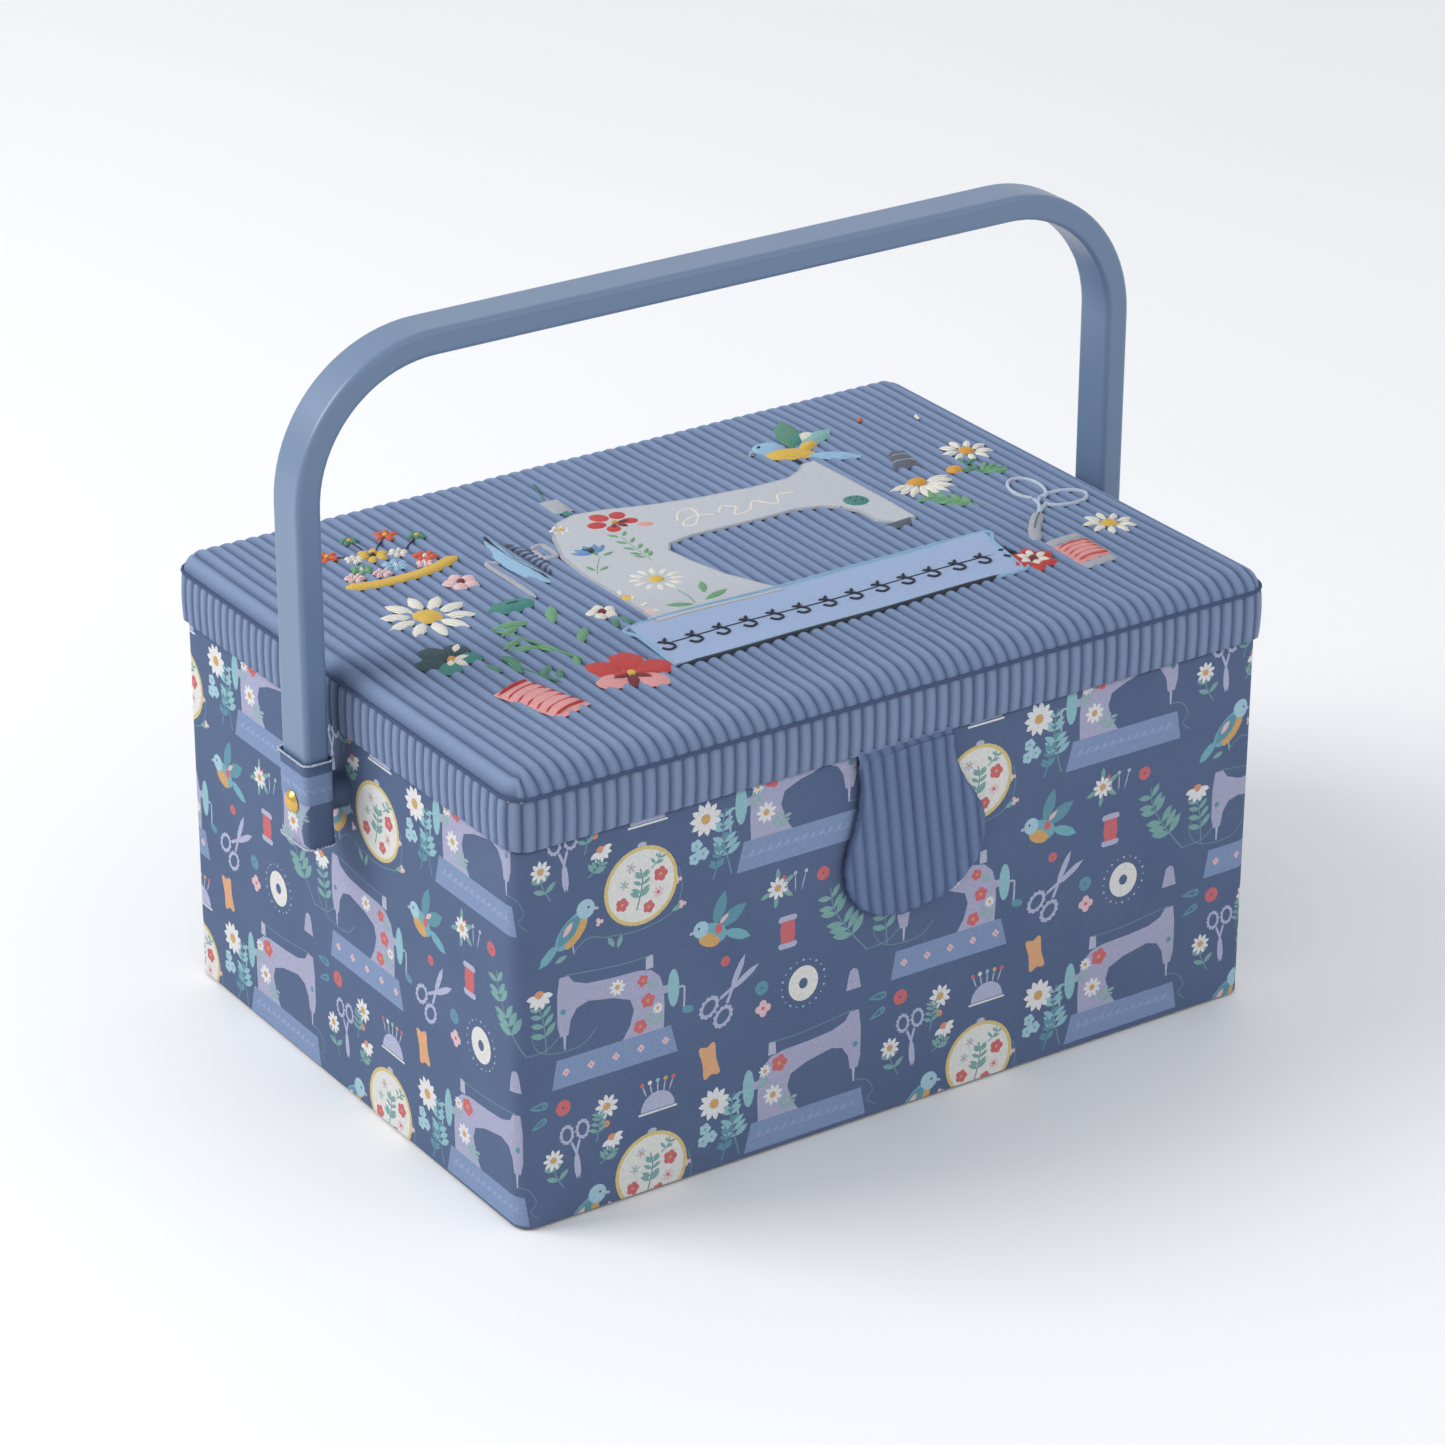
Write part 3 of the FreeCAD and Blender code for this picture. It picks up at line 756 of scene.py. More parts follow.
# %% [markdown]
# ## The cover round the walls
# On the real box one strip of cotton is glued round the walls, and turned in over their top edge. A strip is
# easy to draw on flat, so the drawing is cut there and then bent: along the strip is the way round the
# box, and up the strip is height, and after that the way in over the rim.


# %% Bending the strip round the box
round_by = 5.5
half_long, half_wide = cover_high[0], cover_high[1]
rim_in = 3.5
rim_roll = 1.2


def round_box(along, inward):
    """A point and outward direction on a rounded rectangle, drawn in by some millimetres.
    Walls are straight; at a corner a stretch of 2 radii is laid evenly over the quarter turn."""
    long, wide = 2 * half_long, 2 * half_wide
    s = np.mod(along + half_long, 2 * (long + wide))
    starts = np.array([0, long, long + wide, 2 * long + wide, 2 * (long + wide)])
    side = np.clip(np.searchsorted(starts, s, side="right") - 1, 0, 3)
    length = np.where(side % 2 == 0, long, wide)
    t = s - starts[side]
    bend = np.where(t < round_by, (t - round_by) / round_by,
                    np.where(t > length - round_by, (t - length + round_by) / round_by, 0)) * math.pi / 4
    straight = np.clip(t, round_by, length - round_by) - length / 2
    radius = round_by - inward
    reach = np.where(side % 2 == 0, half_wide, half_long) - round_by
    local = np.stack([straight + radius * np.sin(bend), -(reach + radius * np.cos(bend))], -1)
    turn = side * math.pi / 2
    x = local[..., 0] * np.cos(turn) - local[..., 1] * np.sin(turn)
    y = local[..., 0] * np.sin(turn) + local[..., 1] * np.cos(turn)
    return x, y


def bend_strip(flat):
    """Along the strip is the way round the box. Up it is height, then a small roll, then the way inward."""
    roll, top = rim_roll, cover_high[2]
    up = flat[:, 1]
    turn = np.clip((up - (top - roll)) / roll, 0, 1) * math.pi / 2
    over = np.clip(up - top, 0, None)
    x, y = round_box(flat[:, 0], roll * (1 - np.cos(turn)) * 0.999 + over * (rim_in - roll) / rim_in)
    z = np.where(up < top - roll, up, top - roll + roll * np.sin(turn))
    return np.stack([x, y, z], -1)


print("once round the walls is", round(4 * (half_long + half_wide), 1), "mm")

# %% The cover's cloth
strip_low, strip_high = np.array([-320.0, cover_low[2]]), np.array([580.0, cover_high[2] + rim_in])
corner_lines = np.concatenate([c + np.linspace(-6.5, 6.5, 8) for c in (-130, 130, 320)]
                              + [np.linspace(-320, -313.5, 5), np.linspace(573.5, 580, 5)])
wall_lines = np.concatenate([np.linspace(-310, -140, 7), np.linspace(-120, 120, 9), np.linspace(140, 310, 7),
                             np.linspace(330, 570, 9)])
up_lines = np.concatenate([np.linspace(strip_low[1], cover_high[2] - 1.6, 5),
                           cover_high[2] - np.array([1.2, 0.8, 0.4, 0]), strip_high[1:]])
along_lines = np.sort(np.concatenate([corner_lines, wall_lines]))
flat_cover, cover_triangles, cover_colours = cut_in_tiles(along_lines, up_lines)
print("the strip has", len(cover_triangles), "triangles")
cover_cloth = printed_piece("cover_cloth", flat_cover, cover_triangles, cover_colours, bend_strip(flat_cover))
settle(cover_cloth, "box", "print_cloth", "outer_cover")

# %% [markdown]
# ## Corduroy
# Corduroy has rounded ribs, or wales, with narrow valleys between. On the lid they are the thing one sees
# first, so they are real shape: a height that rises and falls across the cloth. The material adds the pile
# and painted light: a painted highlight on the crest, painted shade in the valley, and fine fuzz. The
# valley's depth is kept as a number on each point, so that the painted light and shade follow the shape.


# %% The corduroy's finish and its rib
wale_pitch = 4.4


def rib(across_cloth):
    """Height of a rib, 0 in the valley and 1 on the crest: the size of a sine to a power below 1."""
    return np.abs(np.sin(np.pi * across_cloth / wale_pitch)) ** 0.62


def corduroy_finish(name, crest, valley, pile_along):
    """Painted shade in the valley and a painted highlight on the crest, with fuzz drawn out along the pile
    and worn patches.
    """
    finish = Finish(name, crest, 0.92, Specular_IOR_Level=0.15, Sheen_Weight=0.35, Sheen_Roughness=0.5)
    finish.shader.inputs["Sheen Tint"].default_value = (*paint(150, 170, 205), 1)
    height = finish.attribute("Crest", "Fac")
    fuzz = finish.noise(finish.place(), 1500, 3, pile_along)
    patches = finish.noise(finish.place(), 42, 3)
    # Painted light across the ribs: the valley colour is painted shade and the crest colour a painted
    # highlight, mixed by the rib's height.
    colour = finish.mix(height.power(1.5), valley, crest)
    colour = finish.mix(fuzz * 0.42, colour, darker(crest, 0.55))
    finish.link("Base Color", finish.mix(patches * 0.2, colour, darker(crest, 1.3)))
    finish.bump(fuzz, 0.5, 0.5 * MM)
    return finish


# Each finish takes a crest colour that carries a painted highlight and a valley colour that carries painted
# shade.
lid_cord = corduroy_finish("lid_corduroy", paint(122, 140, 172), paint(62, 76, 104), (1.6, 0.5, 1))
band_cord = corduroy_finish("band_corduroy", paint(124, 140, 170), paint(58, 72, 100), (1.3, 1.3, 0.5))
flap_cord = corduroy_finish("flap_corduroy", paint(104, 121, 156), paint(56, 70, 102), (1.3, 1.3, 0.5))

# %% [markdown]
# ## The padded top of the lid
# Foam under the corduroy makes the lid swell: it drops steeply at its rounded edge, then rises slowly towards
# the middle. Seen from above the cloth is a rounded rectangle, so the surface is drawn in rings: each
# ring is that outline shrunk, and its height follows how far in it lies.


# %% Height of the lid
lid_round = 7.5
crown = pad_high[2]
groove = band_high[2] + 0.1


def depth_inside(x, y, long, wide, radius):
    """How far inside a rounded rectangle a point lies: the distance to its straight or round edge."""
    dx, dy = np.abs(x) - (long - radius), np.abs(y) - (wide - radius)
    outside = np.hypot(np.clip(dx, 0, None), np.clip(dy, 0, None))
    return radius - outside - np.clip(np.maximum(dx, dy), None, 0)


def lid_height(x, y):
    """A quarter ellipse at the edge, then a low crown, then soft unevenness of the foam, in millimetres."""
    deep = np.clip(depth_inside(x, y, band_high[0] - 1.0, band_high[1] - 1.0, lid_round), 0, None)
    edge = np.sqrt(np.clip(1 - (1 - np.clip(deep / 8.0, 0, 1)) ** 2, 0, 1))
    swell = 1.1 * (1 - np.exp(-deep / 26))
    lumps = np.sin(x / 21 + 0.6) * np.sin(y / 17) + 0.6 * np.sin(x / 9.7 + y / 13 + 1)
    return groove + (crown - groove - 1.5) * edge + swell + 0.28 * lumps * np.clip(deep / 14, 0, 1)


print("the middle of the lid is at", round(float(lid_height(0.0, 0.0)), 1), "mm")


# %% Lid top surface
def square_to_outline(u, v, long, wide, radius):
    """Carries a square grid onto a rounded rectangle: corner points slide in along the diagonal."""
    x, y = u * long, v * wide
    dx, dy = np.clip(np.abs(x) - (long - radius), 0, None), np.clip(np.abs(y) - (wide - radius), 0, None)
    shrink = np.maximum(dx, dy) / np.maximum(np.hypot(dx, dy), 1e-9)
    shrink = np.where((dx > 0) & (dy > 0), shrink, 1.0)
    return np.sign(x) * (np.abs(x) - dx * (1 - shrink)), np.sign(y) * (np.abs(y) - dy * (1 - shrink))


rib_height = 1.15
half_x, half_y = band_high[0] - 0.9, band_high[1] - 0.9
wales = int(round(2 * half_x / wale_pitch))
u = np.linspace(-1, 1, wales * 10 + 1)
v = np.linspace(-1, 1, 90)
v = np.sign(v) * (1 - (1 - np.abs(v)) ** 1.35)
grid_u, grid_v = np.meshgrid(u, v, indexing="ij")
top_x, top_y = square_to_outline(grid_u, grid_v, half_x, half_y, lid_round)
crest = rib((grid_u * wales + wales % 2) * wale_pitch / 2)
fade_in = np.clip(depth_inside(top_x, top_y, half_x + 0.1, half_y + 0.1, lid_round) / 3, 0, 1)
top_z = lid_height(top_x, top_y) + (crest - 0.75) * rib_height * (0.35 + 0.65 * fade_in)
lid_cloth = grid_piece("lid_cloth", np.stack([top_x, top_y, top_z], -1), lid_cord)
point_value(lid_cloth, "Crest", crest)
settle(lid_cloth, "lid", "corduroy", "lid_top_cover", "lid_foam")
print("lid top from", top_z.min().round(1), "to", top_z.max().round(1), "mm; wales", wales)

# %% [markdown]
# ## The band round the lid
# A strip of the same corduroy, with its wales upright, is glued round the lid's edge. It is a ring: one
# way runs round the rounded rectangle, the other follows a short profile from the bottom edge, up the
# face and in under the padded top.


# %% Rounded rectangles
def round_ring(long, wide, radius, count):
    """Points, outward directions and distances round a rounded rectangle, evenly spaced."""
    straight_x, straight_y, arc = 2 * (long - radius), 2 * (wide - radius), math.pi * radius / 2
    total = 2 * (straight_x + straight_y) + 4 * arc
    s = np.linspace(0, total, count, endpoint=False)
    spans = np.array([straight_x, arc, straight_y, arc] * 2)
    ends = np.concatenate([[0], np.cumsum(spans)])
    part = np.clip(np.searchsorted(ends, s, side="right") - 1, 0, 7)
    t = (s - ends[part]) / spans[part]
    quarter = part // 2
    angle = -math.pi / 2 + quarter * math.pi / 2 + np.where(part % 2 == 1, t * math.pi / 2, 0)
    corner = np.array([[1, -1], [1, 1], [-1, 1], [-1, -1]]) * (long - radius, wide - radius)
    start = corner[(quarter - 1) % 4]
    centre = np.where((part % 2 == 0)[:, None], start + (corner[quarter] - start) * t[:, None],
                      corner[quarter])
    out = np.stack([np.cos(angle), np.sin(angle)], -1)
    return centre + out * radius, out, s


print("the ring starts at", round_ring(130, 95, 5, 400)[0][0].round(1))

# %% Edge band
band_wales = int(round(2 * (2 * band_high[0] + 2 * band_high[1]) / wale_pitch))
ring, ring_out, ring_s = round_ring(band_high[0] - 0.5, band_high[1] - 0.5, 7.6, band_wales * 8)
profile = np.array([(-4.2, band_low[2] + 0.9), (-1.6, band_low[2]), (-0.7, band_low[2] + 0.02),
                    (0.0, band_low[2] + 0.6), (0.12, 122.5),
                    (0.25, 125), (0.3, 127.5), (0.25, 130), (0.1, 132.6), (-0.1, 134.2), (-0.6, 135.2),
                    (-1.4, 135.5), (-3.2, 135.2)])
wave = rib(ring_s * band_wales / (ring_s[1] * len(ring_s)) * wale_pitch)
hem = np.array([0, 0, 0.3, 0.9, 1, 1, 1, 1, 1, 0.9, 0.7, 0.5, 0.1])
reach = profile[None, :, 0] + (wave[:, None] - 0.7) * 0.75 * hem[None, :]
band_xy = ring[:, None, :] + ring_out[:, None, :] * reach[..., None]
band_z = np.broadcast_to(profile[None, :, 1], reach.shape)
lid_band = grid_piece("lid_band", np.concatenate([band_xy, band_z[..., None]], -1), band_cord,
                      round_rows=True)
point_value(lid_band, "Crest", np.broadcast_to(wave[:, None], reach.shape))
settle(lid_band, "lid", "corduroy", "lid_edge_band")

# %% The seam in the groove: a thin tube round the lid
cord = 0.55
fold_line, fold_out, _ = round_ring(half_x + 0.2, half_y + 0.2, lid_round, 400)
turn = np.linspace(0, 2 * np.pi, 8, endpoint=False)
seam_xy = fold_line[:, None] + fold_out[:, None] * (cord * np.cos(turn))[None, :, None]
seam_z = np.broadcast_to(groove + 0.25 + cord * np.sin(turn)[None, :, None], seam_xy.shape[:2] + (1,))
seam = grid_piece("lid_seam", np.concatenate([seam_xy, seam_z], -1),
                  Finish("seam_thread", paint(58, 74, 110), 0.9), True, True)
settle(seam, "lid", "corduroy")

# %% [markdown]
# ## The flap
# The flap is a lobed piece of corduroy that hangs from the lid over the front, leaning a little. Its outline
# comes from half-widths at steps down its length, and its wales run up and down. The cut edge frays
# a little, so the edge points are pushed in and out by a hair.


# %% Flap outline
flap_low, flap_high = place("closing_flap")
flap_lean, flap_length, flap_middle = math.radians(7), 53.5, -1.3
widest, soft_edge = 24.8, 1.6
steps = np.array([(16.5, 0.0), (16.3, 4.5), (16.5, 8.6), (17.5, 13.5), (19.8, 19.3), (22.7, 25), (24.4, 29.5),
                  (24.9, 33.5), (24.6, 38), (23.1, 42.3), (20.4, 46), (16.4, 49.3), (13.2, 51), (8, 52.7),
                  (3, 53.4)])
row_drop = np.concatenate([np.linspace(0, 46, 40), flap_length - 7.5
                           * np.cos(np.linspace(0, np.pi / 2, 16)[1:])])
row_drop = np.minimum(row_drop, 53.45)
row_half = np.interp(row_drop, steps[:, 1], steps[:, 0])
kernel = np.array([1, 2, 3, 2, 1]) / 9
row_half[2:-2] = np.convolve(row_half, kernel, "valid")
share = np.linspace(-1, 1, 113)
share = np.sign(share) * np.abs(share) ** 0.94
print("flap outline", len(row_drop), "rows; widest", round(2 * row_half.max(), 1), "mm")

# %% Flap surface: along is down the flap, across is its width, and height is a rib that fades at the edge
rng = np.random.default_rng(7)
fray = 0.18 * rng.standard_normal((len(row_drop), 2))
flap_a = row_half[:, None] * share[None, :]
flap_a[:, 0] += fray[:, 0]
flap_a[:, -1] += fray[:, 1]
flap_b = -np.broadcast_to(row_drop[:, None], flap_a.shape)
flap_wave = rib(flap_a)
side_share = np.clip((1 - np.abs(share)) * widest / soft_edge, 0, 1)
edge_share = side_share[None, :] * np.clip((flap_length - row_drop) / soft_edge, 0, 1)[:, None]
puff = 0.9 * edge_share ** 0.5 * (0.25 + 0.8 * flap_wave)
flap_x = flap_middle + flap_a * math.cos(flap_lean) - flap_b * math.sin(flap_lean)
flap_z = flap_high[2] + flap_a * math.sin(flap_lean) + flap_b * math.cos(flap_lean)
flap_z = np.minimum(flap_z, flap_high[2])
flap_front = flap_low[1] + 0.55
flap_y = flap_front - puff - 0.25 * np.sin(flap_b / 9) * np.sin(flap_a / 14) * edge_share
flap_cloth = grid_piece("flap_cloth", np.stack([flap_x, flap_y, flap_z], -1), flap_cord, flip=True)
point_value(flap_cloth, "Crest", flap_wave * (0.25 + 0.75 * edge_share))
settle(flap_cloth, "flap", "corduroy", "closing_flap")

# %% The flap's back and its cut edge
backing = Finish("flap_backing", paint(84, 100, 134), 0.9)
grain = backing.noise(backing.place(), 1400, 2)
backing.link("Base Color", backing.mix(grain * 0.5, paint(92, 108, 144), paint(52, 64, 96)))
backing.bump(grain, 0.4, 0.2 * MM)
back_y = np.full_like(flap_y, flap_low[1] + 1.5)
flap_back = grid_piece("flap_back", np.stack([flap_x, back_y, flap_z], -1), backing)
settle(flap_back, "flap", "print_cloth", "flap_lining")
rows, columns = flap_x.shape
rim_index = np.concatenate([np.arange(rows) * columns, (rows - 1) * columns + np.arange(1, columns),
                            (np.arange(rows - 1)[::-1] + 1) * columns - 1])
front_rim = np.stack([flap_x, flap_y, flap_z], -1).reshape(-1, 3)[rim_index]
back_rim = np.stack([flap_x, back_y, flap_z], -1).reshape(-1, 3)[rim_index]
flap_edge = grid_piece("flap_edge", np.stack([front_rim, (front_rim * 2 + back_rim) / 3, back_rim], 1),
                       Finish("cut_edge", paint(62, 76, 110), 0.95))
settle(flap_edge, "flap", "corduroy")

# %% [markdown]
# ## Embroidery on the lid
# The picture on the lid is made in three ways: thin cloth shapes sewn on flat, satin stitch, which fills a
# shape with side-by-side threads and stands up like a small pillow, and lines of thread. Each becomes
# its own kind of surface here. All of them lie on the ribs, so their height starts from the lid's own.


# %% Threads and the two kinds of stitch
stitch_colours = {"red": (200, 62, 58), "rose": (232, 160, 160), "cream": (236, 232, 220),
                  "yellow": (226, 186, 78),
                  "amber": (222, 160, 60), "leaf": (112, 166, 124), "jade": (84, 140, 116),
                  "teal": (62, 134, 128),
                  "pine": (46, 74, 84), "sky": (150, 190, 222), "blue": (104, 150, 200),
                  "coral": (216, 96, 66),
                  "grey": (176, 180, 190), "smoke": (92, 98, 116), "black": (38, 44, 62),
                  "pink": (236, 196, 200),
                  "plum": (122, 40, 52), "thread": (196, 208, 226), "mint": (136, 186, 186)}
stitched = {name: [] for name in stitch_colours}
lines_of_thread = {name: [] for name in stitch_colours}


def on_lid(x, y):
    """The height at which a stitch starts, a little over the middle of the ribs."""
    return lid_height(np.asarray(x, float), np.asarray(y, float)) + 0.35


def satin(colour, outline, height=1.0, lean=None):
    """A pillow over an outline: rings shrink to its middle and rise as a sine of how far in they are.
    The threads' direction is kept with it, along the shape unless a lean is given."""
    outline = anticlockwise(outline)
    middle = outline.mean(0)
    if lean is None:
        spread = np.linalg.svd(outline - middle)[2][1]
        lean = math.degrees(math.atan2(spread[1], spread[0]))
    stitched[colour].append((outline, height, lean))


def line_stitch(colour, points, width, height=1.0):
    """A line of thread: across it a half circle stands up, and along it the path is smooth."""
    lines_of_thread[colour].append((smooth_path(points, 5), width / 2, height))


def pillow(outline, height, lean):
    """Points, faces and thread distances of satin stitch, as five rings from the outline to its middle."""
    inward = np.array([0, 0.12, 0.35, 0.65, 1.0])
    middle = outline.mean(0)
    flat = middle + (outline[None] - middle) * (1 - inward[:, None, None])
    rise = (0.25 + 0.62 * height) * np.sin(np.pi / 2 * np.clip(inward * 1.6, 0, 1)) - 0.4
    threads = turned(flat.reshape(-1, 2), -lean)[:, 0]
    return flat, rise[:, None], grid_faces(5, len(outline), False, True), threads


def cord_of_thread(line, half, height):
    """The same for a line of thread: seven points across it on a half ellipse that comes down at the ends."""
    turn = np.linspace(0, np.pi, 7)
    from_start = np.arange(len(line))
    taper = np.clip(np.minimum(from_start, from_start[::-1]) + 0.35, 0, 1)[:, None]
    flat = line[:, None] + sideways(line)[:, None] * (half * taper * np.cos(turn))[..., None]
    rise = (0.25 + 0.55 * height) * taper * np.sin(turn) - 0.4
    travel = np.concatenate([[0], np.cumsum(np.linalg.norm(np.diff(line, axis=0), axis=1))])
    return flat, rise, grid_faces(len(line), 7), (travel[:, None] + 0.2 * np.cos(turn)).ravel()


def stitch_all(colour, finish):
    """Every pillow and line of one colour as one mesh on the lid."""
    shapes = [pillow(*each) for each in stitched[colour]]
    shapes += [cord_of_thread(*each) for each in lines_of_thread[colour]]
    points = [np.concatenate([flat, (on_lid(flat[..., 0], flat[..., 1]) + rise)[..., None]],
                             -1).reshape(-1, 3)
              for flat, rise, _, _ in shapes]
    starts = np.cumsum([0] + [len(group) for group in points])
    faces = [quads + start for (_, _, quads, _), start in zip(shapes, starts)]
    piece = make_piece("stitches_" + colour, np.concatenate(points), np.concatenate(faces), finish)
    point_value(piece, "Across", np.concatenate([threads for _, _, _, threads in shapes]) * MM)
    settle(piece, "lid", "corduroy")


print(len(stitch_colours), "colours of thread")


# %% The thread's finish
thread_gap = 0.55


def thread_finish(name, colour):
    """Side-by-side threads: a ridge at every thread gap across them, painted shade between them, and a little
    gloss.
    """
    finish = Finish(name, colour, 0.55, Specular_IOR_Level=0.35)
    across_threads = finish.attribute("Across", "Fac")
    wander = finish.noise(finish.place(), 500, 2)
    ridge = (across_threads * (2 * math.pi / (thread_gap * MM)) + wander * 5).sine() * 0.5 + 0.5
    tone = finish.noise(finish.place(), 260, 2)
    # Painted shade: between the ridges the colour goes to a darker copy of the thread.
    shade = finish.mix(ridge, darker(colour, 0.55), colour)
    finish.link("Base Color", finish.mix(tone * 0.35, shade, tuple(min(1, c * 1.25 + 0.04) for c in colour)))
    finish.bump(ridge + wander * 0.5, 0.7, 0.25 * MM)
    return finish


print("threads lie", thread_gap, "mm apart")


# %% Stitched flowers
def satin_petals(colour, height, *ring):
    """One pillow for each petal of a ring."""
    for petal in petals(*ring):
        satin(colour, petal, height)


def stitched_daisy(x, y, radius, count=10, lean=0, heart="yellow"):
    """Cream petals about a raised heart."""
    satin_petals("cream", 1.1, x, y, count, radius * 0.28, radius, radius * 0.30, lean)
    satin(heart, oval(x, y, radius * 0.33, count=12), 1.5)


def stitched_pansy(x, y, size, lean, outer, inner, heart="yellow", back_petals=None):
    """Five round petals, the three at the back perhaps in another colour, and dark marks in the middle."""
    for angle, reach, wide in ((90, 0.62, 0.5), (150, 0.6, 0.46), (30, 0.6, 0.46), (215, 0.5, 0.4),
                               (325, 0.5, 0.4)):
        a = math.radians(angle + lean)
        at = (x + size * reach * math.cos(a), y + size * reach * math.sin(a))
        satin(back_petals if back_petals and angle in (90, 150, 30) else outer,
              oval(*at, size * wide, size * wide * 0.86, angle + lean, 16), 1.0, angle + lean + 90)
    for angle in (215, 325, 270):
        satin(inner, leaf(x, y, angle + lean, size * 0.62, size * 0.3), 1.35)
    satin(heart, oval(x, y, size * 0.14, count=8), 1.6)


def stitched_spray(points, leaf_length, colour, pairs, width=0.36):
    """A stem with pairs of leaves along it."""
    line = smooth_path(points, 8)
    line_stitch(colour, points, 0.8, 0.8)
    for k in range(pairs):
        at = int((0.2 + 0.75 * k / max(pairs - 1, 1)) * (len(line) - 2))
        run = line[at + 1] - line[at]
        way = math.degrees(math.atan2(run[1], run[0]))
        for side in (38, -38):
            satin(colour, leaf(*line[at], way + side, leaf_length, leaf_length * width), 1.0)


print("ready to stitch")

# %% [markdown]
# ## The picture: the cloth machine
# On the real lid the machine and its base are cut from plain cloth and sewn down. An outline can't be a
# grid, so a lattice of points inside it is joined into triangles, and each point is lifted onto the lid.

# %% The machine and its base
arm_body = [(-42, -30.4), (-41.4, -12), (-41, 10), (-39, 25), (-34, 38), (-28, 46.5), (-20, 49.6),
            (-10, 48), (4, 43.4),
            (20, 39.4), (36, 37.2), (50, 37.4), (57, 41.2), (61, 45), (65.4, 45.4), (65.8, 30), (65.6, 6),
            (65, -8),
            (58, -8.4), (54.4, -4), (54.2, 4), (51, 10), (46, 14), (38, 16.4), (20, 16.6), (2, 17),
            (-8, 15.4),
            (-11, 11), (-9.4, 0), (-6.4, -12), (-1, -24), (2.4, -30.4)]
base_strip = [(-53, -57), (70, -57), (75.4, -29), (-51, -29)]


def sewn_cloth(name, shape, lift, screen_colour, border):
    """A flat shape cut to triangles on a 2 mm lattice and laid on the lid, with a stitched border."""
    edge = anticlockwise(shape)
    along_side = np.linspace(0, 1, 9)[:-1, None]
    fine_edge = np.concatenate([a + (b - a) * along_side for a, b in zip(edge, np.roll(edge, -1, 0))])
    lattice = np.stack(np.meshgrid(np.arange(-55, 78, 2.0), np.arange(-60, 52, 2.0), indexing="ij"), -1)
    places, _, triangles, _, _, owners = delaunay_2d_cdt(
        np.concatenate([fine_edge, lattice.reshape(-1, 2)]).tolist(), [], [list(range(len(fine_edge)))], 0,
                                                         1e-5)
    kept = np.array([t for t, owner in zip(triangles, owners) if owner])
    used, renumbered = used_only(kept, len(places))
    flat = np.array([tuple(p) for p in places])[used]
    colour = paint(*screen_colour)
    linen = Finish(name + "_cloth", colour, 0.88)
    where = linen.place()
    tabby = ((linen.along(where, 0) * (2 * math.pi / (0.7 * MM))).sine()
             * (linen.along(where, 1) * (2 * math.pi / (0.7 * MM))).sine())
    lint = linen.noise(where, 700, 3)
    shade = linen.mix(lint * 0.5, colour, darker(colour, 0.62))
    linen.link("Base Color", linen.mix(tabby * 0.12 + 0.12, shade, paint(214, 218, 226)))
    linen.bump(tabby * 0.6 + lint, 0.5, 0.3 * MM)
    sewn = make_piece(name, np.c_[flat, on_lid(flat[:, 0], flat[:, 1]) + lift], renumbered, linen)
    closed = np.concatenate([fine_edge, fine_edge[:2]])
    for start in range(0, len(fine_edge), 40):
        line_stitch(border, closed[start:start + 42:2], 1.4, 0.8)
    settle(sewn, "lid", "print_cloth")
    long, wide = np.ptp(edge, axis=0)
    max(enclosed(edge), 0.301 * long * wide) * 1e-6


sewn_cloth("sewn_machine", arm_body, 0.22, (186, 190, 198), "grey")
sewn_cloth("sewn_base", base_strip, 0.08, (150, 174, 214), "sky")

# %% [markdown]
# ## The picture: what is stitched
# Each line here is one stitched shape or a few alike, with its place on the lid in millimetres, measured from
# the middle. Nothing is built until all of it is drawn, because one mesh for each colour is lighter.


# %% Flowers on the machine
stitched_pansy(-13, 37.5, 9.6, 20, "red", "plum", "amber")
satin("rose", oval(-6, 31.4, 3.6, 2.4, -20), 1.1)
stitched_daisy(-29.6, 41.6, 3.8, 7)
for lean in (62, 90, 118, 40, 140):
    satin("blue", leaf(-30.4, 20.6, lean, 9.0, 3.0), 1.2)
for lean in (75, 90, 105):
    satin("black", leaf(-30.4, 20.8, lean, 6.4, 0.7), 1.6)
stitched_spray([(-19, 6), (-18.4, 16), (-17, 30)], 6.2, "leaf", 5)
stitched_spray([(-38.6, 7), (-34, 14), (-29, 20)], 6.6, "leaf", 2)
stitched_daisy(-25.4, -4.6, 9.6, 12, 8, "yellow")
satin("leaf", leaf(-24, -26, 20, 15, 4.2), 1.2)
satin("leaf", leaf(-25, -27, 155, 12, 4.0), 1.2)
satin("leaf", leaf(-20, -22, 62, 12, 3.6), 1.2)
line_stitch("leaf", [(-25, -14), (-24.6, -20), (-26, -27)], 0.9, 0.9)
for k in range(4):
    satin("cream", leaf(-41.4, -10 - 4.6 * k, 60 - 25 * k, 5.6, 2.4), 1.2)
satin("yellow", oval(-40.4, -12, 1.6, 3.0), 1.4)
satin("pink", oval(-40, -24, 2.4, 3.0), 1.1)
print("pillows so far", sum(map(len, stitched.values())))

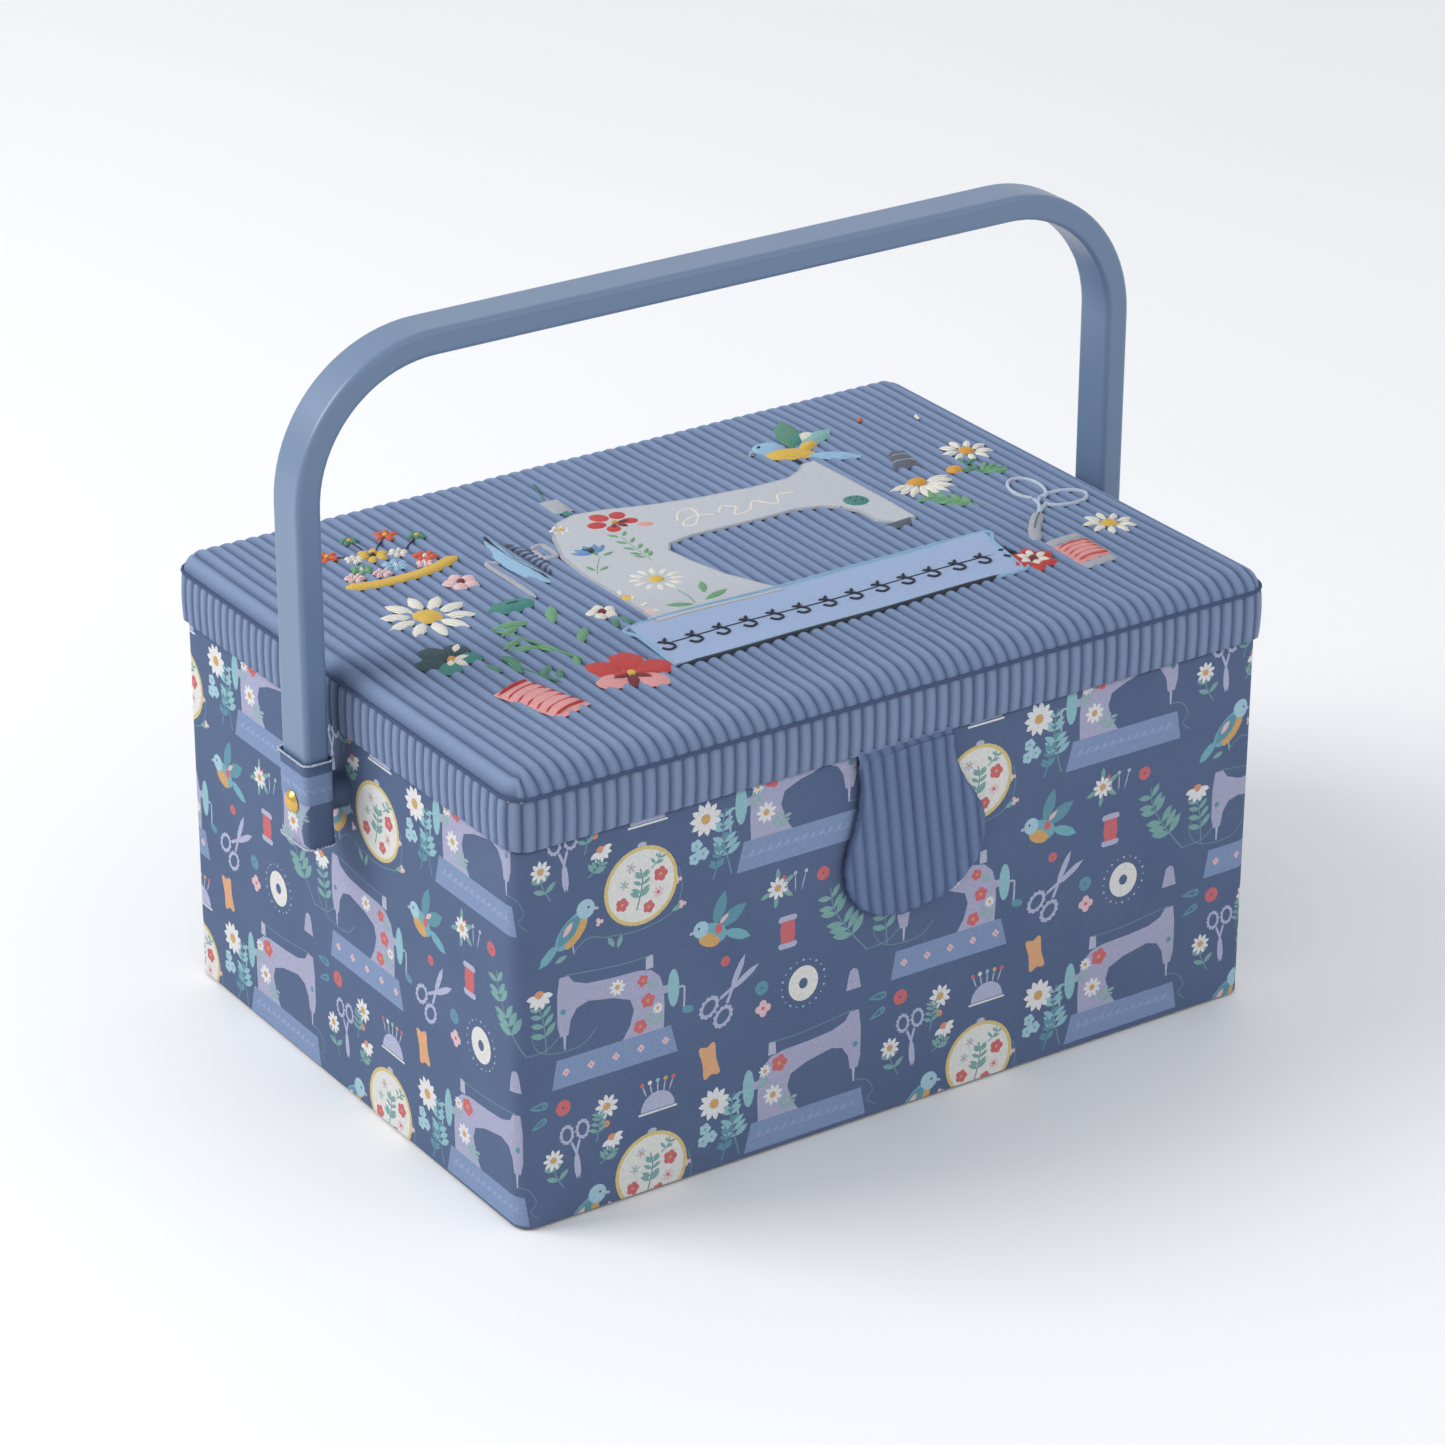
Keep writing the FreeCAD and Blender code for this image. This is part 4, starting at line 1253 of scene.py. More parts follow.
# %% Wheel, thread and edges of the machine
satin("teal", oval(57.4, 11.4, 5.2, count=20), 1.5)
for dx, dy in ((1.3, 1.3), (-1.3, 1.3), (1.3, -1.3), (-1.3, -1.3)):
    satin("pine", oval(57.4 + dx, 11.4 + dy, 0.55, count=6), 2.0)
for points in ([(3, 27), (7, 33), (12, 34), (11, 28), (6, 22.6), (3.4, 24.6), (9, 28.4), (17, 26)],
               [(17, 26), (21, 30), (24, 27), (21, 23), (26, 22.6), (31, 28), (34, 24), (37, 23), (40, 28),
                (46, 27)]):
    line_stitch("cream", points, 1.5, 1.0)
satin("sky", np.concatenate([[(-49, 52), (-52.6, 48), (-56, 38), (-57, 28), (-56, 18), (-52.6, 12),
                              (-49, 10)],
                             [(-50.6, 20), (-51.4, 31), (-50.6, 42)]]), 1.3, 0)
for k in range(9):
    satin("smoke", leaf(-50, 44 - 3.4 * k, 0 + (4 - k) * -11, 9.0 - abs(4 - k) * 0.9, 0.9), 0.7)
line_stitch("black", [(-51, 51), (-52.4, 40), (-52.6, 28), (-51, 13)], 0.6, 1.7)
line_stitch("grey", [(-43.6, 36), (-39.6, 36), (-39.6, 28), (-43.6, 28), (-43.6, 35)], 2.0, 1.1)
line_stitch("grey", [(-57, 32), (-60.6, 33), (-61, 20), (-61.4, 4)], 1.9, 1.0)
satin("grey", [(-24.4, 53.6), (-17.2, 53.6), (-16.6, 64.6), (-23.8, 64.6)], 1.4, 0)
line_stitch("teal", [(-21, 53.6), (-20.4, 50)], 2.4, 1.1)
line_stitch("teal", [(-20.6, 65), (-18.6, 72), (-16, 79)], 0.6, 0.8)
satin("smoke", [(53, -8), (65.4, -7.4), (61.6, -11.6), (57.6, -12.2)], 1.0, 90)
for k in range(14):
    x = -50 + 9.3 * k
    line_stitch("black", [(x, -42.2), (x + 2.6, -44.4), (x + 3.4, -47), (x + 0.8, -48.2), (x - 0.8, -46)],
                0.9, 1.5)
    satin("black", leaf(x + 1.6, -43.6, 50, 3.6, 1.5), 1.5)
line_stitch("black", [(-52, -44.4), (-20, -44.2), (20, -44.4), (73, -43.8)], 0.45, 1.0)
line_stitch("black", [(-52.6, -57.4), (-20, -58), (20, -57.8), (68, -57.2)], 1.8, 1.0)
line_stitch("sky", [(-51, -28.6), (0, -28.2), (74.6, -28.4)], 1.3, 1.4)
line_stitch("sky", [(74.8, -29), (72.4, -44), (70, -57)], 1.1, 1.4)

print("lines so far", sum(map(len, lines_of_thread.values())))

# %% A dish of flowers and pins
line_stitch("yellow", [(-104, 41), (-94, 37.6), (-78, 38), (-65, 43.4)], 4.6, 1.6)
for x, y, colour, size in ((-85.6, 57, "yellow", 5.4), (-73, 48, "coral", 4.4), (-84, 46.4, "sky", 4.6),
                           (-94, 49, "leaf", 3.8), (-78.4, 54.6, "cream", 3.4), (-92, 57, "cream", 3.2),
                           (-98.6, 45, "pink", 3.4), (-90, 43.6, "pink", 3.2), (-76, 42.8, "pink", 3.0)):
    satin_petals(colour, 1.3, x, y, 6, size * 0.15, size, size * 0.55, x * 7)
    satin("black" if colour == "yellow" else "cream", oval(x, y, size * 0.2, count=7), 1.6)
for x, y, tip_x, tip_y, colour in ((-92, 58, -97.6, 63.4, "coral"), (-83, 60, -74.6, 68.6, "coral"),
                                   (-86, 61, -85.8, 70.8, "jade"), (-75, 56, -67, 63, "jade")):
    line_stitch("black", [(x, y), (tip_x, tip_y)], 0.5, 0.8)
    satin_petals(colour, 1.2, tip_x, tip_y, 5, 0.3, 4.2 if colour == "coral" else 3.0, 2.4, tip_x * 5)
    satin("yellow", oval(tip_x, tip_y, 1.1, count=7), 1.5)
print("pillows so far", sum(map(len, stitched.values())))

# %% Flowers and the reel on the left
satin_petals("pink", 1.2, -74, 25.6, 5, 0.6, 6.0, 4.8, 20)
satin("plum", oval(-74, 25.6, 1.5, count=8), 1.6)
stitched_daisy(-94.4, 10.6, 14.6, 10, 10)
satin("teal", oval(-70.4, 3, 8.0, 4.4, -4, 18), 1.5, 20)
line_stitch("black", [(-73.4, 3.4), (-67.4, 2.8)], 0.8, 2.1)
stitched_pansy(-104, -19, 10.4, 20, "teal", "cream", "amber", "pine")
satin("cream", leaf(-102, -17, 50, 8, 3.4), 1.6)
for x, y, lean, long in ((-84, -7, 350, 13), (-84, -13, 20, 9), (-80, -18, 200, 9), (-78, -26, 160, 10),
                         (-75, -32, 120, 9), (-67, -14, 62, 13), (-68, -30, 50, 12), (-74, -36, 250, 8),
                         (-88, -32, 120, 8), (-92, -38, 80, 12), (-90, -44, 40, 10), (-86, -48, 60, 8),
                         (-96, -34, 110, 7)):
    satin("leaf" if x > -85 else "jade", leaf(x, y, lean, long, long * 0.3), 1.2)
line_stitch("leaf", [(-84, -8), (-79, -20), (-75, -34), (-73, -40)], 0.8, 0.8)
line_stitch("jade", [(-92, -26), (-90, -38), (-86, -50)], 0.7, 0.8)
satin_petals("cream", 1.2, -51.6, -16, 5, 0.8, 5.0, 4.0, 12)
satin("plum", oval(-51.6, -16, 1.5, count=8), 1.6)
satin("jade", leaf(-50, -21, 290, 7, 2.4), 1.1)
satin("jade", leaf(-51, -21, 250, 6, 2.2), 1.1)
reel_body = np.array([(-6.6, -12.6), (6.6, -12.6), (6.6, 12.6), (-6.6, 12.6)])
satin("rose", turned(reel_body, 17) + (-96.4, -55), 1.5, 20)
for k in range(7):
    at = turned([(-6, -10.4 + 3.5 * k), (0, -9.6 + 3.5 * k), (6, -10.4 + 3.5 * k)], 17) + (-96.4, -55)
    line_stitch("red", at, 0.9, 1.8)
stitched_pansy(-67, -55.4, 13.6, -24, "rose", "plum", "yellow", "red")
satin("red", leaf(-66, -53, 205, 9.4, 5), 1.4)
satin("red", leaf(-66, -53, 318, 9.6, 5.2), 1.4)
print("pillows so far", sum(map(len, stitched.values())))

# %% The bird and the things on the right
satin("sky", leaf(65, 52, -34, 21, 5.6, 0.5), 1.2)
satin("yellow", oval(62.6, 54.6, 8.4, 4.4, -24, 18), 1.6, 60)
satin("sky", oval(59.4, 61.8, 5.8, 5.2, 0, 16), 1.8, 40)
satin("jade", leaf(66, 58, 64, 24, 8.6), 1.5)
satin("mint", leaf(67, 56.6, 24, 20, 7.0), 1.5)
satin("teal", leaf(66, 57.4, 46, 16, 5.0), 1.9)
satin("cream", oval(73.4, 62.6, 5.2, 3.2, 10), 1.9)
satin("yellow", oval(71, 56.6, 4.2, 2.2, 20), 2.0)
satin("black", oval(56.4, 62.6, 0.9, count=7), 2.3)
satin("grey", leaf(54.2, 61.4, 190, 3.0, 1.6), 1.6)
line_stitch("black", [(61.6, 50), (61.6, 46)], 0.9, 1.0)
satin("smoke", [(83, 26.4), (91.6, 24.6), (94.6, 38), (90, 39.6), (86.4, 36)], 1.4, 70)
line_stitch("grey", [(84.6, 31), (92.6, 29.4)], 0.9, 1.8)
line_stitch("grey", [(86.6, 35), (93.2, 33.6)], 0.8, 1.8)
stitched_daisy(110.4, 27, 8.8, 9, 12, "amber")
for lean in (186, 206, 226, 250, 272, 292, 318, 345, 0):
    satin("cream", leaf(82.6 + 2 * math.cos(math.radians(lean)), 14 + 2 * math.sin(math.radians(lean)), lean,
                        10.0, 3.0), 1.2)
satin("amber", oval(82.6, 14.8, 3.8, 2.8), 1.7)
satin("amber", oval(98.4, 16.6, 2.8, count=12), 1.6)
stitched_spray([(87, -12), (83.4, -4), (79, 2)], 7.4, "leaf", 4)
stitched_spray([(104.6, 10), (103, 16), (104.6, 19)], 5.2, "jade", 2)
for lean in (0, 24, 48, 340):
    satin("leaf", leaf(104, 10, lean, 10, 2.2), 1.0)
line_stitch("grey", [(85, -42.6), (91, -34), (99, -25.6)], 4.0, 1.4)
line_stitch("smoke", [(88, -37.6), (94, -31), (98.6, -26.6)], 0.6, 2.0)
for ring_x, ring_y, lean in ((107.6, -8, 78), (112.6, -19.6, 0)):
    t = np.linspace(0.3, 2 * np.pi - 0.3, 15)
    circle = turned(np.stack([8.4 * np.cos(t + math.pi), 5.2 * np.sin(t + math.pi)], 1), lean) + (ring_x,
                                                                                                  ring_y)
    line_stitch("thread", circle, 1.2, 1.3)
line_stitch("thread", [(98.6, -25.8), (102.6, -21), (104.4, -15.4)], 1.3, 1.3)
line_stitch("thread", [(98.6, -25.8), (103, -22.6), (106, -20.6)], 1.3, 1.3)
stitched_daisy(112.4, -43, 8.6, 9, 0)
satin_petals("red", 1.2, 76.4, -52.6, 6, 1.0, 8.2, 5.4, 12)
satin_petals("cream", 1.7, 76.4, -52.6, 6, 0.8, 6.0, 3.2, 12)
satin("plum", oval(76.4, -52.6, 1.8, count=8), 2.0)
satin("rose", [(86, -48.6), (99, -48), (99.6, -62), (86, -63)], 1.5, 10)
satin("grey", [(86.6, -45), (99.4, -44.4), (99, -48), (86.6, -48.6)], 1.2, 0)
satin("grey", [(87, -66), (98.6, -65.4), (99.4, -62), (86, -63)], 1.2, 0)
for k in range(5):
    line_stitch("coral", [(87, -51.4 - 2.4 * k), (92, -50.4 - 2.4 * k), (98.6, -51 - 2.4 * k)], 0.8, 1.9)
line_stitch("coral", [(96, 64.4), (98, 66.6)], 1.6, 1.0)
line_stitch("cream", [(114, 57), (114.8, 60.4)], 1.2, 1.0)

# %% Sewing every colour
for colour_name, shapes in stitched.items():
    if shapes or lines_of_thread[colour_name]:
        stitch_all(colour_name, thread_finish("thread_" + colour_name, paint(*stitch_colours[colour_name])))


# %% [markdown]
# ## Handle, rivets and trays
# These parts are right as they were engineered, so they only need finishes. The handle is satin plastic
# with a faint mottle, the rivets are polished brass, and the trays are milky plastic with soft flow marks.


# %% Finishes for engineered parts
def finish_nodes(finish, *nodes):
    """Gives engineering nodes a finish through their objects' slots."""
    for node in nodes:
        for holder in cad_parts[node].material_slots:
            holder.material = finish.material
    print(finish.material.name, "on", nodes)


def moulded(name, colour, roughness, grain_depth, mottle=0.1):
    """Satin plastic: a faint mottle in the colour, fine grain in the surface."""
    finish = Finish(name, colour, roughness, Specular_IOR_Level=0.5, Coat_Roughness=0.25)
    spots = finish.noise(finish.place(), 60, 3)
    grain = finish.noise(finish.place(), 1800, 2)
    finish.link("Base Color", finish.mix(spots * mottle * 2, colour, darker(colour, 0.8)))
    finish.link("Roughness", spots * 0.12 + grain * 0.06 + (roughness - 0.08))
    finish.bump(grain, 0.25, grain_depth * MM)
    return finish


handle_finish = moulded("handle_plastic", paint(100, 122, 152), 0.36, 0.05)
handle_finish.shader.inputs["Coat Weight"].default_value = 0.2
finish_nodes(handle_finish, "carry_handle")
finish_nodes(moulded("spacer_nylon", paint(70, 86, 116), 0.5, 0.08), "left_spacer", "right_spacer")
finish_nodes(moulded("milky_tray", paint(228, 232, 238), 0.3, 0.03, 0.05), "tray_left", "tray_right")

# %% Metal and board
brass = Finish("rivet_brass", paint(222, 180, 96), 0.22, Metallic=1.0)
scuffs = brass.noise(brass.place(), 900, 3)
brass.link("Base Color", brass.mix(scuffs * 0.5, paint(232, 192, 104), paint(178, 130, 60)))
brass.link("Roughness", scuffs * 0.25 + 0.12)
finish_nodes(brass, "left_rivet", "right_rivet")
steel = Finish("plain_steel", paint(170, 172, 176), 0.35, Metallic=1.0)
lines = steel.noise(steel.place(), 600, 2, (0.1, 1, 3))
steel.link("Roughness", lines * 0.3 + 0.22)
steel.link("Base Color", steel.mix(lines, paint(150, 152, 158), paint(196, 198, 202)))
finish_nodes(steel, "left_washer", "right_washer", "catch_plate", "flap_magnet")
board = Finish("grey_board", paint(158, 146, 126), 0.9)
fibres = board.noise(board.place(), 500, 4, (1, 1, 0.4))
board.link("Base Color", board.mix(fibres, paint(138, 126, 106), paint(178, 168, 148)))
board.bump(fibres, 0.4, 0.3 * MM)
finish_nodes(board, "base_board", "front_board", "back_board", "left_board", "right_board", "lid_frame",
             "lid_board")

# %% [markdown]
# ## Cuffs
# Each end of the handle sits in a tab of the printed cotton, folded round it and held by the rivet. It
# is a tube: one way runs round a rounded section, the other down the leg. Its print is upside down.


# %% Frayed thread
fray_thread = Finish("frayed_thread", paint(206, 212, 224), 0.9)
fluff = fray_thread.noise(fray_thread.place(), 1600, 2)
fray_thread.link("Base Color", fray_thread.mix(fluff, paint(120, 136, 168), paint(226, 230, 238)))
fray_thread.bump(fluff, 0.8, 0.3 * MM)


def frayed_ring(name, section, outward, middle, height, flip):
    """A loose thread round a cut edge: a thin tube whose place wanders by a normal draw at each step."""
    thick = 0.32
    turn = np.linspace(0, 2 * np.pi, 6, endpoint=False)
    frayed = np.random.default_rng(len(name.split("_fray")[0])).normal(0, 0.13, (len(section), 1))
    reach = 0.1 + frayed + thick * np.cos(turn)[None, :]
    ring_xy = section[:, None] + outward[:, None] * reach[..., None] + middle[:2]
    ring_z = height + frayed + thick * np.sin(turn)[None, :]
    fringe = grid_piece(name, np.concatenate([ring_xy, ring_z[..., None]], -1), fray_thread, True, True, flip)
    settle(fringe, "handle", "print_cloth")


print("frayed thread has", len(fray_thread.tree.nodes), "nodes")


# %% Cuffs round the handle's ends
def cuff(name, node, sign):
    """A tube of print: along the cloth is the way round the section, and up the cloth is down the leg.
    It stands off by a pucker, a sine down the leg, and flares at both ends as a falling exponential."""
    low, high = place(node)
    middle, half = (low + high) / 2, (high - low) / 2
    section, outward, distance = round_ring(half[0] - 0.1, half[1] - 0.1, 2.0, 360)
    total = distance[1] * 360
    start = int(np.argmax(section[:, 0] - np.abs(section[:, 1]) * 0.01))
    centre_s, flat_low = -44.5, -1.6
    tall = high[2] - low[2]
    along = centre_s + np.linspace(-total / 2, total / 2, 25)
    upward = flat_low + np.linspace(0, tall, 7)
    flat, triangles, colours = cut_in_tiles(along, upward)
    position = np.mod((flat[:, 0] - centre_s) * sign + distance[start], total)
    wrap = np.concatenate([distance, [total]])
    x = np.interp(position, wrap, np.append(section[:, 0], section[0, 0]))
    y = np.interp(position, wrap, np.append(section[:, 1], section[0, 1]))
    down = flat[:, 1] - flat_low
    flare = 0.35 * np.exp(-down / 1.2) + 0.35 * np.exp(-(tall - down) / 1.2)
    pucker = 0.14 * np.sin(down / 1.6 + y) - 0.1
    grow = 1 + (flare + pucker) / np.maximum(np.hypot(x, y), 1)
    points = np.stack([middle[0] + sign * x * grow, middle[1] + y * grow, high[2] - down], -1)
    piece = printed_piece(name, flat, triangles, colours, points)
    face_outward(piece, merge=0.002)
    thicken(piece, 0.55)
    settle(piece, "handle", "print_cloth", node)
    tall * MM
    for edge, height in (("top", high[2] - 0.1), ("foot", low[2] + 0.15)):
        frayed_ring(name + "_fray_" + edge, section * [sign, 1], outward * [sign, 1], middle, height,
                    sign < 0)


cuff("cuff_cloth_left", "left_cuff", -1)
cuff("cuff_cloth_right", "right_cuff", 1)

# %% [markdown]
# ## Inside the box
# The walls are boards wrapped in plain cotton, and the floor is a quilted pad. A wrapped board is a rounded
# bar: its section is a rounded rectangle, and the section closes over each end along a quarter circle.


# %% Plain lining cotton
def plain_cotton(name, colour, pitch=0.7):
    """Plain woven cotton: sines along all three directions for the threads, lint, and slow clouds of tone."""
    finish = Finish(name, colour, 0.88, Specular_IOR_Level=0.2)
    where = finish.place()
    lint = finish.noise(where, 800, 3)
    cloud = finish.noise(where, 25, 2)
    threads = [(finish.along(where, axis) * (2 * math.pi / (pitch * MM))).sine() for axis in range(3)]
    wave = threads[0] + threads[1] + threads[2]
    shade = finish.mix(lint * 0.35 + wave * 0.04, colour, darker(colour, 0.6))
    finish.link("Base Color", finish.mix(cloud * 0.2, shade, darker(colour, 1.15)))
    finish.bump(wave * 0.4 + lint, 0.4, 0.25 * MM)
    return finish


lining = plain_cotton("lining_cotton", paint(196, 206, 220))
felt = plain_cotton("base_felt", paint(36, 42, 56), 1.3)
print("cottons", lining.material.name, felt.material.name)


# %% Wrapped boards
def wrapped_board(node, word, radius):
    """A bar along the node's longest side, with a rounded section that closes over both ends."""
    low, high = place(node)
    half, middle = (high - low) / 2, (high + low) / 2
    order = np.argsort(-half)
    long = half[order[0]]
    section, out, _ = round_ring(half[order[1]], half[order[2]], radius, 96)
    bend = np.linspace(0, np.pi / 2, 5)
    ends = np.concatenate([-long + radius * (1 - np.sin(bend[::-1])), np.linspace(-long, long, 40)[2:-2],
                           long - radius * (1 - np.sin(bend))])
    inset = np.concatenate([radius * (1 - np.cos(bend[::-1])), np.zeros(36), radius * (1 - np.cos(bend))])
    ring_points = section[None] - out[None] * inset[:, None, None]
    sag = 1 - 0.02 * np.abs(np.sin(ends * 0.13))[:, None]
    points = np.zeros(ring_points.shape[:2] + (3,))
    points[..., order[0]] = middle[order[0]] + ends[:, None]
    points[..., order[1]] = middle[order[1]] + ring_points[..., 0]
    points[..., order[2]] = middle[order[2]] + ring_points[..., 1] * sag
    piece = make_piece(node.replace(word, "cloth"), points, capped(*points.shape[:2]), lining)
    face_outward(piece)
    settle(piece, "box", "lining", node)
    return piece


for node, radius in (("front_ledge_board", 1.2), ("back_ledge_board", 1.2), ("left_lining_board", 0.9),
                     ("right_lining_board", 0.9)):
    wrapped_board(node, "board", radius)
for node in ("front_upper_lining", "back_upper_lining"):
    low, high = place(node)
    cloth = wrapped_board(node, "lining", 0.22)
    (high[0] - low[0]) * MM
    (high[2] - low[2]) * MM

# %% Felt under the box
base_high = place("base_cover")[1]
felt_ring, felt_out, _ = round_ring(base_high[0], base_high[1], 4.3, 240)
felt_profile = np.array([(-4.2, 0.8), (0, 0.8), (0.02, 0.4), (-0.1, 0.12), (-0.5, 0.0), (-4.2, 0.0)])
felt_xy = felt_ring[None] + felt_out[None] * felt_profile[:, 0][:, None, None]
felt_z = np.broadcast_to(felt_profile[:, 1][:, None, None], felt_xy.shape[:2] + (1,))
base_felt = make_piece("base_felt", np.concatenate([felt_xy, felt_z], -1), capped(6, 240), felt)
face_outward(base_felt)
settle(base_felt, "box", "base_cloth", "base_cover")

# %% [markdown]
# ## The quilted floor pad
# Wadding under cotton, stitched in diamonds, makes a field of small pillows. Height is the product of two
# sines along the diagonals, flattened by a root so that the seams are narrow, and it drops at the edge.

# %% Floor pad
pad_long, pad_wide, diamond = 123.2, 87.2, 34
pad_foot = place("floor_lining")[0][2]
floor_x, floor_y = np.meshgrid(np.linspace(-pad_long, pad_long, 300), np.linspace(-pad_wide, pad_wide, 216),
                               indexing="ij")
one_way = np.sin(np.pi * (floor_x + floor_y) / diamond)
other_way = np.sin(np.pi * (floor_x - floor_y) / diamond)
pillow = np.sqrt(np.abs(one_way) ** 0.7 * np.abs(other_way) ** 0.7)
drop = np.clip(np.minimum(pad_long - np.abs(floor_x), pad_wide - np.abs(floor_y)) / 4, 0, 1)
floor_z = pad_foot + 0.1 + (1.3 + 1.6 * pillow) * np.sqrt(1 - (1 - drop) ** 2)
floor_pad = grid_piece("floor_pad_cloth", np.stack([floor_x, floor_y, floor_z], -1), lining)
settle(floor_pad, "box", "lining", "floor_lining")

# %% [markdown]
# ## Inside the lid
# Cotton lines the lid's hollow. A gathered pocket hangs on elastic in the rear half, and a small pincushion
# sits in front of it. Gathers are ripples that grow towards the elastic, where the cloth is drawn up.

# %% Lid lining
lining_low, lining_high = place("lid_lining")
roof = lining_high[2] - 0.6
inside_long, inside_wide = 127.3, 92.3
grid_x, grid_y = np.meshgrid(np.linspace(-inside_long, inside_long, 120),
                             np.linspace(-inside_wide, inside_wide, 90), indexing="ij")
roof_z = roof + 0.15 - 0.12 * (np.sin(grid_x / 15) * np.sin(grid_y / 12))
lid_roof = grid_piece("lid_lining_cloth", np.stack([grid_x, grid_y, roof_z], -1), lining, flip=True)
settle(lid_roof, "lid", "lining", "lid_lining")
side_ring, side_out, _ = round_ring(lining_high[0] - 0.05, lining_high[1] - 0.05, 2.4, 360)
side_profile = np.array([(0.9, lining_low[2] + 0.3), (0.2, lining_low[2] - 0.1), (-0.25, lining_low[2] + 0.5),
                         (-0.35, 124), (-0.4, 128), (-0.6, 131), (-1.4, roof + 0.1)])
side_xy = side_ring[:, None] + side_out[:, None] * side_profile[None, :, :1]
side_z = np.broadcast_to(side_profile[None, :, 1:], side_xy.shape[:2] + (1,))
lid_sides = grid_piece("lid_side_cloth", np.concatenate([side_xy, side_z], -1), lining, round_rows=True,
                       flip=True)
settle(lid_sides, "lid", "lining")

# %% Gathered pocket
pocket_low, pocket_high = place("lid_pocket")
pocket_colour = plain_cotton("pocket_cotton", paint(96, 122, 164))
px, py = np.meshgrid(np.linspace(pocket_low[0], pocket_high[0], 460),
                     np.linspace(pocket_low[1], pocket_high[1], 60), indexing="ij")
from_elastic = (py - pocket_low[1]) / (pocket_high[1] - pocket_low[1])
gather = (0.25 + 0.75 * (1 - from_elastic) ** 1.5)
ripple = np.sin(px / 1.55 + 1.2 * np.sin(px / 11)) * 0.6 + np.sin(px / 3.7 + 2 * from_elastic) * 0.4
from_side = pocket_high[0] - np.abs(px)
hollow = np.sin(np.pi * np.clip(from_elastic, 0, 1)) ** 0.6 * np.clip(from_side / 8, 0, 1) ** 0.5
pocket_z = roof - 0.2 - 0.9 * hollow - 0.45 * gather * (1 + ripple) * np.clip(from_side / 3, 0, 1)
pocket = grid_piece("pocket_cloth", np.stack([px, py, pocket_z], -1), pocket_colour, flip=True)
settle(pocket, "lid", "lining", "lid_pocket")

# %% Ruched elastic: a tube whose radius ripples along it
elastic_low, elastic_high = place("pocket_elastic")
rings, spokes = 900, 14
run = np.linspace(elastic_low[0] + 0.2, elastic_high[0] - 0.2, rings)
turn = np.linspace(0, 2 * np.pi, spokes, endpoint=False)
ruche = 1.22 + 0.2 * np.sin(run / 0.62) + 0.06 * np.sin(run / 2.3)
ruche[0] = ruche[-1] = 0.4
elastic_points = np.stack([np.broadcast_to(run[:, None], (rings, spokes)),
                           elastic_low[1] + 1.5 + ruche[:, None] * np.cos(turn),
                           elastic_low[2] + 1.6 + ruche[:, None] * np.sin(turn)], -1)
elastic = make_piece("elastic_casing", elastic_points, capped(rings, spokes), pocket_colour)
settle(elastic, "lid", "elastic", "pocket_elastic")

# %% Pincushion: a dome with pulled-in sides and a tuft in the middle
pin_low, pin_high = place("pincushion")
pin_long, pin_wide = 38, 26
pu, pv = np.meshgrid(np.linspace(-1, 1, 90), np.linspace(-1, 1, 70), indexing="ij")
pin_x = pin_long * pu * (1 - 0.05 * np.cos(np.pi * pv / 2) * np.abs(pu) ** 6)
pin_y = (pin_low[1] + pin_high[1]) / 2 + pin_wide * pv * (1 - 0.05 * np.cos(np.pi * pu / 2) * np.abs(pv) ** 6)
dome = ((1 - np.abs(pu) ** 3.2) * (1 - np.abs(pv) ** 3.2)).clip(0, 1) ** 0.5
from_tuft = (pu * pin_long) ** 2 + (pv * pin_wide) ** 2
tuft = np.exp(-from_tuft / 30)
crease = 0.25 * np.sin(np.arctan2(pv, pu) * 14) * np.exp(-from_tuft / 120)
pin_z = pin_high[2] - 0.1 - (7.4 * dome) + 2.6 * tuft + crease
cushion_cotton = plain_cotton("cushion_cotton", paint(196, 104, 100))
pincushion = grid_piece("pincushion_cloth", np.stack([pin_x, pin_y, pin_z], -1), cushion_cotton, flip=True)
settle(pincushion, "lid", "lining", "pincushion")

# %% [markdown]
# ## The cloth hinge and the flap's neck
# A strip of the print is glued to the box's back and to the lid. It has two folds, so it is two pieces, each
# shaped over one fold. The neck of the flap is cloth too, and is shaped where the flap meets the lid.


# %% Hinge cloth
def hinge_piece(name, heights, depths, heights_at, body_a, body_b, start, end, *nodes):
    """A strip of the print across the back: along it is -X, up it is height, and depth follows height."""
    flat, triangles, colours = cut_in_tiles(np.linspace(334, 566, 13), np.asarray(heights_at, float))
    points = np.stack([450 - flat[:, 0], np.interp(flat[:, 1], heights, depths), flat[:, 1]], -1)
    piece = printed_piece(name, flat, triangles, colours, points)
    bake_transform(piece)
    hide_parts(*nodes)
    print(name, len(piece.data.polygons), "faces between", body_a, "and", body_b)


